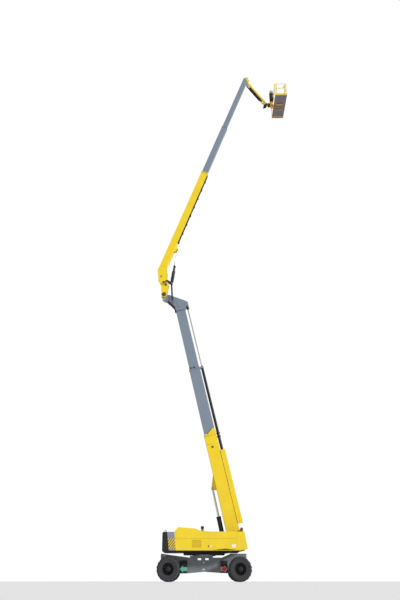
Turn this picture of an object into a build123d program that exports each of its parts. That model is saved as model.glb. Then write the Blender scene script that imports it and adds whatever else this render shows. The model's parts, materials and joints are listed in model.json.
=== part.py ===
from build123d import *
import os
from math import atan2, cos, degrees, hypot, radians, sin

# Articulating boom lift, full size, in millimetres.
# X runs from the counterweight to the boom foot, Y across the machine and Z up.
# The model is drawn about the slewing axis and moved to its bottom centre at the end.

# Clearances
SEAT = 0.3
PIN_PLAY = 0.5
RUNNING_GAP = 10
SLIDE_GAP = 8
WEAR_PAD_LENGTH = 150
GLAND_LENGTH = 60

# Wheels and axles
WHEELBASE = 3750
OVERALL_WIDTH = 2490
TYRE_RADIUS = 595
TYRE_WIDTH = 440
LUG_HEIGHT = 25
LUG_LENGTH = 62
LUG_COUNT = 18
LUG_SKEW = 24
RIM_RADIUS = 310
RIM_WALL = 22
DISC_THICKNESS = 30
HUB_RADIUS = 160
HUB_CAP_RADIUS = 125
HUB_CAP_REACH = 150
KINGPIN_INSET = 245
KINGPIN_RADIUS = 25
FORK_HALF_WIDTH = 65
FORK_HALF_HEIGHT = 165
FORK_LEAF = 50
AXLE_HALF_SIZE = 100
FORK_REACH = 140
FORK_WEB = 50
STEERING_ARM_LENGTH = 230

# Chassis
CHASSIS_HALF_WIDTH = 430
CHASSIS_REAR = -2310
CHASSIS_FRONT = 2260
CHASSIS_END_TOP = 1350
CHASSIS_WAIST_TOP = 1160
PEDESTAL_REAR = -760
PEDESTAL_FRONT = 470
PEDESTAL_TOP = 1250
CHASSIS_END_BOTTOM = 400
CHASSIS_MID_BOTTOM = 490
CHASSIS_PLATE = 30
WINDOW_WIDTH = 185
WINDOW_HEIGHT = 115
WINDOW_BOTTOM = 1040
WINDOW_CENTRES = (-250, 155)
LASHING_HOLE_RADIUS = 40
LASHING_HOLE_DROP = 80
LASHING_HOLE_INSET = 140
LOCKER_DEPTH = 70
LOCKER_BOTTOM = 430
LOCKER_TOP = 1010
LOCKER_SPANS = ((-1290, -900), (870, 1230))
RING_RADIUS = 600

# Turntable
DECK_REAR = -2200
DECK_FRONT = 1870
DECK_INSET = 15
DECK_BOTTOM = 1430
DECK_THICKNESS = 40
FRAME_HALF_LENGTH = 1100
FRAME_HALF_WIDTH = 500
FRAME_FLOOR = 34
CHANNEL_HALF_WIDTH = 470
CHANNEL_FRONT = 1330
LUG_THICKNESS = 50
LUG_RADIUS = 160
LUG_FOOT_REAR = 1450
LUG_FOOT_FRONT = 2240
FOOT_LUG_THICKNESS = 30
FOOT_LUG_RADIUS = 90

# Counterweight, tail cabinets and hoods
TAIL_REAR = -2210
CABINET_REAR_BOTTOM = -1850
CABINET_REAR_TOP = -1960
CABINET_FRONT_BOTTOM = -1485
CABINET_FRONT_TOP = -1590
COUNTERWEIGHT_SADDLE = 1660
TAIL_TOP = 2370
HOOD_INNER = 640
HOOD_WALL = 25
HOOD_TOP = 2385
HOOD_CREST = 2600
HOOD_CREST_START = -1390
HOOD_CREST_END = -490
HOOD_CREST_SHOULDER = 2540
HOOD_STEP_END = -220
HOOD_STEP_TOP = 2440
HOOD_FLAT_START = 310
GRILLE_REAR = -640
GRILLE_FRONT = -120
GRILLE_BOTTOM = 1600
GRILLE_TOP = 1980
GRILLE_SLOT = 14
GRILLE_PITCH = 40
NOSE_REAR = 1750
NOSE_FRONT_TOP = 2140
NOSE_FRONT_BOTTOM = 2280
NOSE_BOTTOM = 1560
LID_SEAM = 2040
LID_GAP = 6
LID_SIDE_INSET = 90
LID_HINGE_RADIUS = 12
LID_HINGE_WIDTH = 40
LID_HINGES = (-1200, 500, 1600)
ENGINE_REAR = -900
ENGINE_LENGTH = 1200
ENGINE_HALF_WIDTH = 200
ENGINE_HEIGHT = 640
STACK_X = -90
STACK_RADIUS = 85
STACK_HEIGHT = 215
STACK_HEAD = 110
STACK_STEM_RADIUS = 62
BEACON_X = 2010
BEACON_RADIUS = 60
BEACON_HEIGHT = 205
BEACON_BASE = 60

# Lower boom
LOWER_PIVOT_X = 1940
LOWER_PIVOT_Z = 2370
LOWER_ANGLE = 102.9
LOWER_Y = 310
LOWER_OFFSET = -290
LOWER_DEPTH = 720
LOWER_WIDTH = 460
LOWER_WALL = 12
LOWER_ROOT = 300
LOWER_BASE_END = 5750
LOWER_MID_REACH = 4250
LOWER_INNER_REACH = 4150
LOWER_MID_OVERLAP = 1100
LOWER_COLLAR = 100
LOWER_ROOT_RADIUS = 150
LOWER_PIN_RADIUS = 45
COVER_START = 520
COVER_END = 4670
COVER_DEPTH = 290
COVER_WIDTH = 300
FEED_BARREL_RADIUS = 85
FEED_BORE_RADIUS = 60
FEED_ROD_RADIUS = 40
FEED_OFFSET = 205
FEED_BARREL_LENGTH = 5200
FEED_ROD_OVERLAP = 600

# Lower lift cylinder
LIFT_FOOT_X = 1200
LIFT_FOOT_Z = 1500
LIFT_EYE_ALONG = 2670
LIFT_EYE_OFFSET = -866
LIFT_BARREL_RADIUS = 125
LIFT_BORE_RADIUS = 85
LIFT_ROD_RADIUS = 62
LIFT_BARREL_LENGTH = 1800
LIFT_ROD_OVERLAP = 250
LIFT_EYE_RADIUS = 80
LIFT_EYE_WIDTH = 100
LIFT_EAR_THICKNESS = 35

# Elbow
ELBOW_BEYOND = 1125
ELBOW_OFFSET = -1160
ELBOW_RADIUS = 150
TRUNNION_RADIUS = 120
TRUNNION_CAP_RADIUS = 145
ELBOW_INNER_FACE = 70
ELBOW_OUTER_FACE = 500
ELBOW_ARM_ALONG = 551
ELBOW_ARM_DROP = -434
ELBOW_ARM_WIDTH = 100

# Upper boom
UPPER_ANGLE = 70.7
UPPER_Y = -230
UPPER_OFFSET = -828
UPPER_DEPTH = 480
UPPER_WIDTH = 400
UPPER_WALL = 10
UPPER_ROOT = 1940
UPPER_BASE_END = 10650
UPPER_MID_REACH = 4800
UPPER_INNER_REACH = 5450
UPPER_MID_OVERLAP = 1100
UPPER_INNER_OVERLAP = 800
UPPER_COLLAR = 60
UPPER_MID_DEPTH = 415
UPPER_MID_WIDTH = 340
UPPER_INNER_DEPTH = 355
UPPER_INNER_WIDTH = 280
ROOT_PLATE = 30
ROOT_RADIUS = 190
TRAY_START = 4200
TRAY_DEPTH = 50
TRAY_WIDTH = 200

# Upper lift cylinder and its links
LINK_PIN_RADIUS = 35
LINK_ROOT_ALONG = 1211
LINK_ROOT_OFFSET = -663
LINK_JOINT_X = 466
LINK_JOINT_Z = 897
LINK_HALF_WIDTH = 50
ROCKER_PLATE = 25
ROCKER_INNER_HALF = 85
TIE_PLATE = 28
TIE_INNER_HALF = 120
UPPER_EYE_ALONG = 3590
UPPER_EYE_OFFSET = -400
UPPER_BARREL_RADIUS = 75
UPPER_BORE_RADIUS = 50
UPPER_ROD_RADIUS = 38
UPPER_BARREL_LENGTH = 1400
UPPER_ROD_OVERLAP = 200
UPPER_EYE_RADIUS = 60
UPPER_EYE_WIDTH = 80
UPPER_EAR_THICKNESS = 20

# Jib
HEAD_LENGTH = 400
TIP_BEYOND = 270
TIP_OFFSET = -780
JIB_ANGLE = -59.3
JIB_LENGTH = 3000
JIB_DEPTH = 180
JIB_WIDTH = 110
JIB_WALL = 8
JIB_HUB_RADIUS = 100
JIB_PIN_RADIUS = 35
JIB_FOOT_X = 30
JIB_FOOT_Z = -500
JIB_EYE_ALONG = 2750
JIB_EYE_OFFSET = 220
JIB_BARREL_RADIUS = 50
JIB_BORE_RADIUS = 36
JIB_ROD_RADIUS = 25
JIB_BARREL_LENGTH = 1900
JIB_ROD_OVERLAP = 200
JIB_LUG_THICKNESS = 27

# Basket
ROTATOR_X = 410
ROTATOR_RADIUS = 110
ROTATOR_HEIGHT = 360
ROTATOR_DROP = 300
BASKET_LENGTH = 2440
BASKET_DEPTH = 930
BASKET_SETBACK = 160
BASKET_FLOOR_DROP = 210
FLOOR_THICKNESS = 40
FLOOR_BAR = 20
FLOOR_CELLS_ACROSS = 5
FLOOR_CELLS_ALONG = 12
RAIL_HEIGHT = 1250
RAIL_MID_HEIGHT = 760
TOE_HEIGHT = 200
TOE_THICKNESS = 8
RAIL_RADIUS = 19
RAIL_POSTS_ALONG = 4
GATE_WIDTH = 640
GATE_PIVOT = 25
GATE_PIN_RADIUS = 8
CONSOLE_HALF_WIDTH = 190
CONSOLE_DEPTH = 250
CONSOLE_BOTTOM = 650
CONSOLE_TOP = 1500

AXLE_HEIGHT = TYRE_RADIUS
WHEEL_Y = (OVERALL_WIDTH - TYRE_WIDTH) / 2
KINGPIN_Y = WHEEL_Y - KINGPIN_INSET
AXLE_BEAM_END = KINGPIN_Y - FORK_REACH
DECK_TOP = DECK_BOTTOM + DECK_THICKNESS
DECK_HALF_WIDTH = OVERALL_WIDTH / 2 - DECK_INSET
HOOD_OUTER = OVERALL_WIDTH / 2


def box(x0, x1, y0, y1, z0, z1):
    """A block between two corners."""
    size = Box(x1 - x0, y1 - y0, z1 - z0, align=(Align.MIN, Align.MIN, Align.MIN))
    return Pos(x0, y0, z0) * size


def slab(points, y0, y1):
    """A plate with the outline of points in X and Z, from y0 to y1."""
    outline = Wire.make_polygon([(x, y0, z) for x, z in points])
    return extrude(Face(outline), amount=y1 - y0, dir=(0, 1, 0))


def pin(point, radius, y0, y1):
    """A cylinder across the machine at a point in X and Z."""
    plane = Plane(origin=(point[0], y0, point[1]), z_dir=(0, 1, 0))
    return extrude(plane * Circle(radius), amount=y1 - y0)


def upright(x, y, z0, z1, radius):
    """A vertical cylinder."""
    return extrude(Plane(origin=(x, y, z0)) * Circle(radius), amount=z1 - z0)


def mirrored(shape):
    """The same shape on the other side of the machine."""
    return mirror(shape, about=Plane.XZ)


def edges(middle, width):
    """The two ends of a span about its middle."""
    return middle - width / 2, middle + width / 2


class Beam:
    """Points along a straight member: s runs along it and t to its right, seen from the side."""

    def __init__(self, origin, angle):
        self.origin = origin
        self.angle = angle
        self.along = (cos(radians(angle)), sin(radians(angle)))
        self.right = (self.along[1], -self.along[0])

    def at(self, s, t=0):
        x = self.origin[0] + s * self.along[0] + t * self.right[0]
        z = self.origin[1] + s * self.along[1] + t * self.right[1]
        return (x, z)

    def plate(self, points, y0, y1):
        return slab([self.at(s, t) for s, t in points], y0, y1)

    def block(self, s0, s1, t0, t1, y0, y1):
        return self.plate([(s0, t0), (s1, t0), (s1, t1), (s0, t1)], y0, y1)

    def tube(self, s0, s1, middle, depth, y, width, wall):
        t0 = middle - depth / 2
        t1 = middle + depth / 2
        y0 = y - width / 2
        y1 = y + width / 2
        outer = self.block(s0, s1, t0, t1, y0, y1)
        bore = self.block(s0 - 1, s1 + 1, t0 + wall, t1 - wall, y0 + wall, y1 - wall)
        return outer - bore

    def collar(self, end, length, across, aside, wall):
        """A band round the end of a tube, one wall thicker than the tube."""
        depth = across[1] + 2 * wall
        width = aside[1] + 2 * wall
        return self.tube(end - length, end, across[0], depth, aside[0], width, wall + 1)

    def wear_ring(self, end, y, bore, section):
        """Pads at a section's mouth that guide the next section: each is (middle, depth, width)."""
        start = end - WEAR_PAD_LENGTH
        outer = self.block(start, end, *edges(bore[0], bore[1]), *edges(y, bore[2]))
        inner_edges = edges(section[0], section[1] + 2 * SEAT)
        return outer - self.block(start - 1, end + 1, *inner_edges, *edges(y, section[2] + 2 * SEAT))

    def bar(self, s0, s1, t, y, radius):
        x, z = self.at(s0, t)
        plane = Plane(origin=(x, y, z), z_dir=(self.along[0], 0, self.along[1]))
        return extrude(plane * Circle(radius), amount=s1 - s0)


def beam_between(start, end):
    """A beam from one point to another, and its length."""
    dx = end[0] - start[0]
    dz = end[1] - start[1]
    return Beam(start, degrees(atan2(dz, dx))), hypot(dx, dz)


def cylinder_pair(start, end, y, sizes):
    """A lift cylinder's barrel from its foot pin and its rod to its eye."""
    line, length = beam_between(start, end)
    barrel = line.bar(sizes["foot_radius"] * 0.5, sizes["barrel_length"], 0, y, sizes["barrel_radius"])
    barrel += pin(start, sizes["foot_radius"], y - sizes["foot_width"] / 2, y + sizes["foot_width"] / 2)
    bore_start = sizes["foot_radius"] + 10
    barrel -= line.bar(bore_start, sizes["barrel_length"] - GLAND_LENGTH, 0, y, sizes["bore_radius"])
    barrel -= line.bar(bore_start, sizes["barrel_length"] + 1, 0, y, sizes["rod_radius"] + SEAT)
    barrel -= pin(start, sizes["foot_bore"], y - OVERALL_WIDTH, y + OVERALL_WIDTH)
    inner_end = sizes["barrel_length"] - sizes["overlap"]
    rod = line.bar(inner_end, length - sizes["eye_radius"] / 2, 0, y, sizes["rod_radius"])
    half = sizes["eye_width"] / 2
    rod += pin(end, sizes["eye_radius"], y - half, y + half)
    rod += pin(end, sizes["eye_pin"], y - half - sizes["pin_reach"], y + half + sizes["pin_reach"])
    return barrel, rod


lower = Beam((LOWER_PIVOT_X, LOWER_PIVOT_Z), LOWER_ANGLE)
LOWER_MID_END = LOWER_BASE_END + LOWER_MID_REACH
LOWER_INNER_END = LOWER_MID_END + LOWER_INNER_REACH
LOWER_MID_DEPTH = LOWER_DEPTH - 2 * LOWER_WALL - 4 * SLIDE_GAP
LOWER_MID_WIDTH = LOWER_WIDTH - 2 * LOWER_WALL - 4 * SLIDE_GAP
LOWER_INNER_DEPTH = LOWER_MID_DEPTH - 2 * LOWER_WALL - 4 * SLIDE_GAP
LOWER_INNER_WIDTH = LOWER_MID_WIDTH - 2 * LOWER_WALL - 4 * SLIDE_GAP
ELBOW_ALONG = LOWER_INNER_END + ELBOW_BEYOND
ELBOW = lower.at(ELBOW_ALONG, ELBOW_OFFSET)
upper = Beam(ELBOW, UPPER_ANGLE)
UPPER_MID_END = UPPER_BASE_END + UPPER_MID_REACH
UPPER_INNER_END = UPPER_MID_END + UPPER_INNER_REACH
UPPER_TOP_EDGE = UPPER_OFFSET - UPPER_DEPTH / 2
UPPER_BOTTOM_EDGE = UPPER_OFFSET + UPPER_DEPTH / 2
UPPER_MID_OFFSET = UPPER_TOP_EDGE + UPPER_WALL + SLIDE_GAP + UPPER_MID_DEPTH / 2
UPPER_MID_TOP = UPPER_MID_OFFSET - UPPER_MID_DEPTH / 2
UPPER_INNER_OFFSET = UPPER_MID_TOP + UPPER_WALL + SLIDE_GAP + UPPER_INNER_DEPTH / 2
TIP = upper.at(UPPER_INNER_END + TIP_BEYOND, TIP_OFFSET)
jib = Beam(TIP, JIB_ANGLE)
JIB_END = jib.at(JIB_LENGTH)
LIFT_FOOT = (LIFT_FOOT_X, LIFT_FOOT_Z)
LIFT_EYE = lower.at(LIFT_EYE_ALONG, LIFT_EYE_OFFSET)
LINK_JOINT = (ELBOW[0] + LINK_JOINT_X, ELBOW[1] + LINK_JOINT_Z)
LINK_ROOT = upper.at(LINK_ROOT_ALONG, LINK_ROOT_OFFSET)
ELBOW_ARM_END = (ELBOW[0] + ELBOW_ARM_ALONG, ELBOW[1] + ELBOW_ARM_DROP)
UPPER_EYE = upper.at(UPPER_EYE_ALONG, UPPER_EYE_OFFSET)
JIB_FOOT = (TIP[0] + JIB_FOOT_X, TIP[1] + JIB_FOOT_Z)
JIB_EYE = jib.at(JIB_EYE_ALONG, JIB_EYE_OFFSET)
ROTATOR = JIB_END[0] + ROTATOR_X
BASKET_REAR = ROTATOR + BASKET_SETBACK
BASKET_FLOOR = JIB_END[1] - BASKET_FLOOR_DROP


def chassis_outline():
    """The chassis seen from the side, from the rear end along the top and back below."""
    slope = CHASSIS_END_TOP - CHASSIS_WAIST_TOP
    return [
        (CHASSIS_REAR, CHASSIS_END_TOP),
        (PEDESTAL_REAR, CHASSIS_WAIST_TOP),
        (PEDESTAL_REAR, PEDESTAL_TOP),
        (PEDESTAL_FRONT, PEDESTAL_TOP),
        (PEDESTAL_FRONT, CHASSIS_WAIST_TOP),
        (PEDESTAL_FRONT + 2.5 * slope, CHASSIS_WAIST_TOP),
        (PEDESTAL_FRONT + 5 * slope, CHASSIS_END_TOP),
        (CHASSIS_FRONT, CHASSIS_END_TOP),
        (CHASSIS_FRONT, CHASSIS_END_TOP - 2 * slope),
        (WHEELBASE / 2, CHASSIS_END_BOTTOM),
        (WHEELBASE / 4, CHASSIS_MID_BOTTOM - 60),
        (0, CHASSIS_MID_BOTTOM),
        (-WHEELBASE / 4, CHASSIS_MID_BOTTOM - 80),
        (-WHEELBASE / 2, CHASSIS_END_BOTTOM),
        (CHASSIS_REAR, CHASSIS_END_TOP - 2 * slope),
    ]


def chassis_frame():
    frame = slab(chassis_outline(), -CHASSIS_HALF_WIDTH, CHASSIS_HALF_WIDTH)
    inside = CHASSIS_HALF_WIDTH - CHASSIS_PLATE
    pocket_floor = CHASSIS_END_TOP - 2 * LASHING_HOLE_DROP - 60
    for end, side in ((CHASSIS_REAR, 1), (CHASSIS_FRONT, -1)):
        x0, x1 = sorted((end - side, end + side * 2.5 * LASHING_HOLE_INSET))
        frame -= box(x0, x1, -inside, inside, pocket_floor, CHASSIS_END_TOP + 1)
        hole = (end + side * LASHING_HOLE_INSET, CHASSIS_END_TOP - LASHING_HOLE_DROP)
        frame -= pin(hole, LASHING_HOLE_RADIUS, -OVERALL_WIDTH, OVERALL_WIDTH)
    for x in WINDOW_CENTRES:
        x0 = x - WINDOW_WIDTH / 2
        top = WINDOW_BOTTOM + WINDOW_HEIGHT
        frame -= box(x0, x0 + WINDOW_WIDTH, -OVERALL_WIDTH, OVERALL_WIDTH, WINDOW_BOTTOM, top)
    passage = AXLE_HALF_SIZE + SEAT
    for x in (-WHEELBASE / 2, WHEELBASE / 2):
        low = AXLE_HEIGHT - passage
        frame -= box(x - passage, x + passage, -OVERALL_WIDTH, OVERALL_WIDTH, low, AXLE_HEIGHT + passage)
    return frame


def side_lockers():
    lockers = Part()
    for x0, x1 in LOCKER_SPANS:
        y0 = CHASSIS_HALF_WIDTH
        locker = box(x0, x1, y0, y0 + LOCKER_DEPTH, LOCKER_BOTTOM, LOCKER_TOP)
        lockers += locker
        lockers += mirrored(locker)
    return lockers


def slew_ring():
    return upright(0, 0, PEDESTAL_TOP, DECK_BOTTOM - FRAME_FLOOR - 100 - SEAT, RING_RADIUS)


def axle(x):
    """An axle beam with a fork and kingpin at each end."""
    half = AXLE_HALF_SIZE
    low = AXLE_HEIGHT - half
    beam = box(x - half, x + half, -AXLE_BEAM_END, AXLE_BEAM_END, low, AXLE_HEIGHT + half)
    web_x = FORK_HALF_WIDTH
    bottom = AXLE_HEIGHT - FORK_HALF_HEIGHT
    top = AXLE_HEIGHT + FORK_HALF_HEIGHT
    fork = box(x - web_x, x + web_x, AXLE_BEAM_END, AXLE_BEAM_END + FORK_WEB, bottom, top)
    for z in (bottom, top - FORK_LEAF):
        fork += box(x - web_x, x + web_x, AXLE_BEAM_END, KINGPIN_Y, z, z + FORK_LEAF)
        fork += upright(x, KINGPIN_Y, z, z + FORK_LEAF, FORK_HALF_WIDTH)
    fork += upright(x, KINGPIN_Y, bottom, top, KINGPIN_RADIUS)
    return beam + fork + mirrored(fork)


def knuckle(x, inward):
    """A steering knuckle on the left side, with its arm towards the middle of the machine."""
    half = FORK_HALF_HEIGHT - FORK_LEAF - SEAT
    body = upright(x, KINGPIN_Y, AXLE_HEIGHT - half, AXLE_HEIGHT + half, FORK_HALF_WIDTH + 5)
    hub_end = WHEEL_Y - DISC_THICKNESS / 2 - SEAT
    web = FORK_HALF_WIDTH + 5
    hub_start = KINGPIN_Y + 100
    body += box(x - web, x + web, KINGPIN_Y, hub_start + 5, AXLE_HEIGHT - half, AXLE_HEIGHT + half)
    body += pin((x, AXLE_HEIGHT), HUB_RADIUS, hub_start, hub_end)
    x0, x1 = sorted((x, x + inward * STEERING_ARM_LENGTH))
    body += box(x0, x1, KINGPIN_Y - 20, KINGPIN_Y + 20, AXLE_HEIGHT - 40, AXLE_HEIGHT + 40)
    return body - upright(x, KINGPIN_Y, 0, 2 * AXLE_HEIGHT, KINGPIN_RADIUS + PIN_PLAY)


def spun(points, x):
    """A ring about the axle line on the left side, from (outward, radius) points."""
    outline = Wire.make_polygon([(x, WHEEL_Y + out, AXLE_HEIGHT + radius) for out, radius in points])
    line = Axis(origin=(x, 0, AXLE_HEIGHT), direction=(0, 1, 0))
    return revolve(Face(outline), axis=line)


def rim(x):
    bead = TYRE_WIDTH / 2 - 25
    inner = RIM_RADIUS - RIM_WALL
    half = DISC_THICKNESS / 2
    return spun(
        [
            (-bead, inner),
            (-bead, RIM_RADIUS - SEAT),
            (bead, RIM_RADIUS - SEAT),
            (bead, inner),
            (half, inner),
            (half, HUB_CAP_RADIUS + 15),
            (half + 20, HUB_CAP_RADIUS),
            (HUB_CAP_REACH - 25, HUB_CAP_RADIUS),
            (HUB_CAP_REACH, HUB_CAP_RADIUS - 30),
            (HUB_CAP_REACH, 0),
            (-half, 0),
            (-half, inner),
        ],
        x,
    )


def tread_lug(x, side, angle):
    """One skewed lug from the middle of the tread over the shoulder, turned about the axle line."""
    half = TYRE_WIDTH / 2
    base = TYRE_RADIUS - LUG_HEIGHT
    profile = [
        (12, base - 12),
        (12, TYRE_RADIUS),
        (half - 50, TYRE_RADIUS),
        (half - 8, TYRE_RADIUS - 30),
        (half - 8, base - 60),
    ]
    start = x - LUG_LENGTH / 2
    points = [(start, WHEEL_Y + side * out, AXLE_HEIGHT + radius) for out, radius in profile]
    lug = extrude(Face(Wire.make_polygon(points)), amount=LUG_LENGTH, dir=(1, 0, 0))
    upward = Axis(origin=(x, WHEEL_Y + side * half / 2, 0), direction=(0, 0, 1))
    lug = lug.rotate(upward, side * LUG_SKEW)
    return lug.rotate(Axis(origin=(x, 0, AXLE_HEIGHT), direction=(0, 1, 0)), angle)


def tyre(x):
    half = TYRE_WIDTH / 2
    base = TYRE_RADIUS - LUG_HEIGHT
    section = [
        (-half + 25, RIM_RADIUS),
        (-half, base - 60),
        (-half + 45, base),
    ]
    carcass = spun(section + [(-out, radius) for out, radius in reversed(section)], x)
    pitch = 360 / LUG_COUNT
    lugs = [tread_lug(x, 1, i * pitch) for i in range(LUG_COUNT)]
    lugs += [tread_lug(x, -1, (i + 0.5) * pitch) for i in range(LUG_COUNT)]
    return carcass + lugs


def lug_pair(outline, y, gap, thickness):
    """Two plates of one outline on both sides of y."""
    left = slab(outline, y + gap, y + gap + thickness)
    return left + slab(outline, y - gap - thickness, y - gap)


def turntable_frame():
    floor_bottom = DECK_BOTTOM - FRAME_FLOOR - 100
    floor_top = floor_bottom + FRAME_FLOOR
    length = FRAME_HALF_LENGTH
    channel = CHANNEL_HALF_WIDTH
    frame = box(-length, length, -FRAME_HALF_WIDTH, FRAME_HALF_WIDTH, floor_bottom, DECK_BOTTOM)
    frame += box(DECK_REAR, DECK_FRONT, -DECK_HALF_WIDTH, DECK_HALF_WIDTH, DECK_BOTTOM, DECK_TOP)
    frame -= box(-length, CHANNEL_FRONT, -channel, channel, floor_top, DECK_TOP + 1)
    pivot = lower.origin
    gap = LOWER_WIDTH / 2 + RUNNING_GAP
    outline = [
        (LUG_FOOT_REAR, DECK_TOP),
        (pivot[0] - LUG_RADIUS, pivot[1]),
        (pivot[0] + LUG_RADIUS, pivot[1]),
        (LUG_FOOT_FRONT, NOSE_BOTTOM),
        (DECK_FRONT, DECK_TOP),
    ]
    frame += lug_pair(outline, LOWER_Y, gap, LUG_THICKNESS)
    for y in (LOWER_Y - gap - LUG_THICKNESS, LOWER_Y + gap):
        frame += pin(pivot, LUG_RADIUS, y, y + LUG_THICKNESS)
    frame += pin(pivot, LOWER_PIN_RADIUS, LOWER_Y - gap - 1, LOWER_Y + gap + 1)
    foot_gap = LIFT_BARREL_RADIUS + RUNNING_GAP
    foot_outline = [
        (LIFT_FOOT_X, LIFT_FOOT_Z - FOOT_LUG_RADIUS),
        (LUG_FOOT_REAR, DECK_TOP),
        (LUG_FOOT_REAR, LIFT_FOOT_Z + FOOT_LUG_RADIUS),
        (LIFT_FOOT_X, LIFT_FOOT_Z + FOOT_LUG_RADIUS),
    ]
    frame += lug_pair(foot_outline, LOWER_Y, foot_gap, FOOT_LUG_THICKNESS)
    for y in (LOWER_Y - foot_gap - FOOT_LUG_THICKNESS, LOWER_Y + foot_gap):
        frame += pin(LIFT_FOOT, FOOT_LUG_RADIUS, y, y + FOOT_LUG_THICKNESS)
    frame += pin(LIFT_FOOT, LOWER_PIN_RADIUS, LOWER_Y - foot_gap - 1, LOWER_Y + foot_gap + 1)
    return frame


def counterweight():
    outline = [
        (TAIL_REAR, DECK_TOP),
        (TAIL_REAR, TAIL_TOP - 40),
        (TAIL_REAR + 60, TAIL_TOP),
        (CABINET_REAR_TOP, TAIL_TOP),
        (CABINET_REAR_BOTTOM, DECK_TOP),
    ]
    block = slab(outline, -HOOD_OUTER, HOOD_OUTER)
    return block - box(TAIL_REAR - 1, 0, -HOOD_INNER, HOOD_INNER, COUNTERWEIGHT_SADDLE, TAIL_TOP + 1)


def tail_cabinets():
    outline = [
        (CABINET_REAR_BOTTOM + SEAT, DECK_TOP),
        (CABINET_REAR_TOP + SEAT, TAIL_TOP),
        (CABINET_FRONT_TOP - SEAT, TAIL_TOP),
        (CABINET_FRONT_BOTTOM - SEAT, DECK_TOP),
    ]
    cabinet = slab(outline, HOOD_INNER, HOOD_OUTER)
    return cabinet + mirrored(cabinet)


def hood_top_points(drop):
    """The stepped top of a hood from rear to front, lowered by drop."""
    return [
        (CABINET_FRONT_TOP + drop, TAIL_TOP - drop),
        (HOOD_CREST_START + drop / 2, HOOD_CREST - drop),
        (HOOD_CREST_END, HOOD_CREST_SHOULDER - drop),
        (HOOD_STEP_END, HOOD_STEP_TOP - drop),
        (HOOD_FLAT_START, HOOD_TOP - drop),
    ]


def hood_outline():
    """A hood seen from the side."""
    return hood_top_points(0) + [
        (NOSE_FRONT_TOP, HOOD_TOP),
        (NOSE_FRONT_BOTTOM, NOSE_BOTTOM),
        (DECK_FRONT, DECK_TOP),
        (CABINET_FRONT_BOTTOM, DECK_TOP),
    ]


def hood_shell():
    """The whole left hood as a hollow shell, open below."""
    inside = hood_top_points(HOOD_WALL) + [
        (NOSE_FRONT_TOP - HOOD_WALL, HOOD_TOP - HOOD_WALL),
        (NOSE_FRONT_BOTTOM - HOOD_WALL, NOSE_BOTTOM + HOOD_WALL),
        (DECK_FRONT - HOOD_WALL, DECK_TOP + HOOD_WALL),
        (DECK_FRONT - HOOD_WALL, DECK_TOP - 1),
        (CABINET_FRONT_BOTTOM + HOOD_WALL, DECK_TOP - 1),
    ]
    shell = slab(hood_outline(), HOOD_INNER, HOOD_OUTER)
    return shell - slab(inside, HOOD_INNER + HOOD_WALL, HOOD_OUTER - HOOD_WALL)


def lid_zone(gap):
    """The space over the seam and outside the hinge wall, drawn in by gap."""
    x0 = CABINET_FRONT_TOP + gap
    x1 = NOSE_REAR - gap
    top = HOOD_CREST + 1
    zone = box(x0, x1, HOOD_INNER + gap, HOOD_OUTER + 1, HOOD_TOP - HOOD_WALL + gap, top)
    side = HOOD_OUTER - HOOD_WALL
    return zone + box(x0 + LID_SIDE_INSET, x1, side, HOOD_OUTER + 1, LID_SEAM + gap, top)


def hinge_axis():
    """The left lid's hinge line, as Y and Z."""
    return HOOD_INNER - LID_GAP, HOOD_TOP + LID_HINGE_RADIUS


def hinge_bar(x0, x1, radius):
    y, z = hinge_axis()
    return extrude(Plane(origin=(x0, y, z), z_dir=(1, 0, 0)) * Circle(radius), amount=x1 - x0)


def hood_body():
    """The left hood's fixed walls, with the lugs and pins of the lid's hinges."""
    above = box(CABINET_FRONT_TOP - 100, NOSE_REAR, 0, HOOD_OUTER + 1, HOOD_TOP - HOOD_WALL, HOOD_CREST + 1)
    body = hood_shell() - above - lid_zone(0)
    side = HOOD_OUTER - HOOD_WALL
    for x in range(GRILLE_REAR, GRILLE_FRONT, GRILLE_PITCH):
        body -= box(x, x + GRILLE_SLOT, side - 1, HOOD_OUTER + 1, GRILLE_BOTTOM, GRILLE_TOP)
    y, z = hinge_axis()
    for x in LID_HINGES:
        lug = box(x - LID_HINGE_WIDTH, x, y - LID_HINGE_RADIUS, HOOD_INNER, HOOD_TOP - 80, z)
        lug += hinge_bar(x - LID_HINGE_WIDTH, x, LID_HINGE_RADIUS)
        body += lug + hinge_bar(x - 1, x + LID_HINGE_WIDTH, LID_HINGE_RADIUS / 2)
    return body


def hood_lid():
    """The left lid, its top and outer side in one, with its hinge knuckles."""
    lid = hood_shell() & lid_zone(LID_GAP)
    y, z = hinge_axis()
    for x in LID_HINGES:
        x0 = x + SEAT
        x1 = x + LID_HINGE_WIDTH
        eye = hinge_bar(x0, x1, LID_HINGE_RADIUS) + box(x0, x1, y, HOOD_INNER + HOOD_WALL, HOOD_TOP, z)
        lid += eye - hinge_bar(x0 - 1, x1 + 1, LID_HINGE_RADIUS / 2 + SEAT)
    return lid


def engine_block():
    y = (HOOD_INNER + HOOD_OUTER) / 2
    x1 = ENGINE_REAR + ENGINE_LENGTH
    top = DECK_TOP + ENGINE_HEIGHT
    return box(ENGINE_REAR, x1, y - ENGINE_HALF_WIDTH, y + ENGINE_HALF_WIDTH, DECK_TOP, top)


def air_stack():
    """The air intake's mushroom head on the right lid."""
    y = -(HOOD_INNER + HOOD_OUTER) / 2
    top = HOOD_STEP_TOP + STACK_HEIGHT
    stack = upright(STACK_X, y, HOOD_TOP, top, STACK_STEM_RADIUS)
    stack += upright(STACK_X, y, HOOD_TOP, HOOD_STEP_TOP + 15, STACK_RADIUS)
    stack += upright(STACK_X, y, top - STACK_HEAD, top, STACK_RADIUS)
    return stack - slab(hood_outline(), -HOOD_OUTER, -HOOD_INNER)


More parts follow.
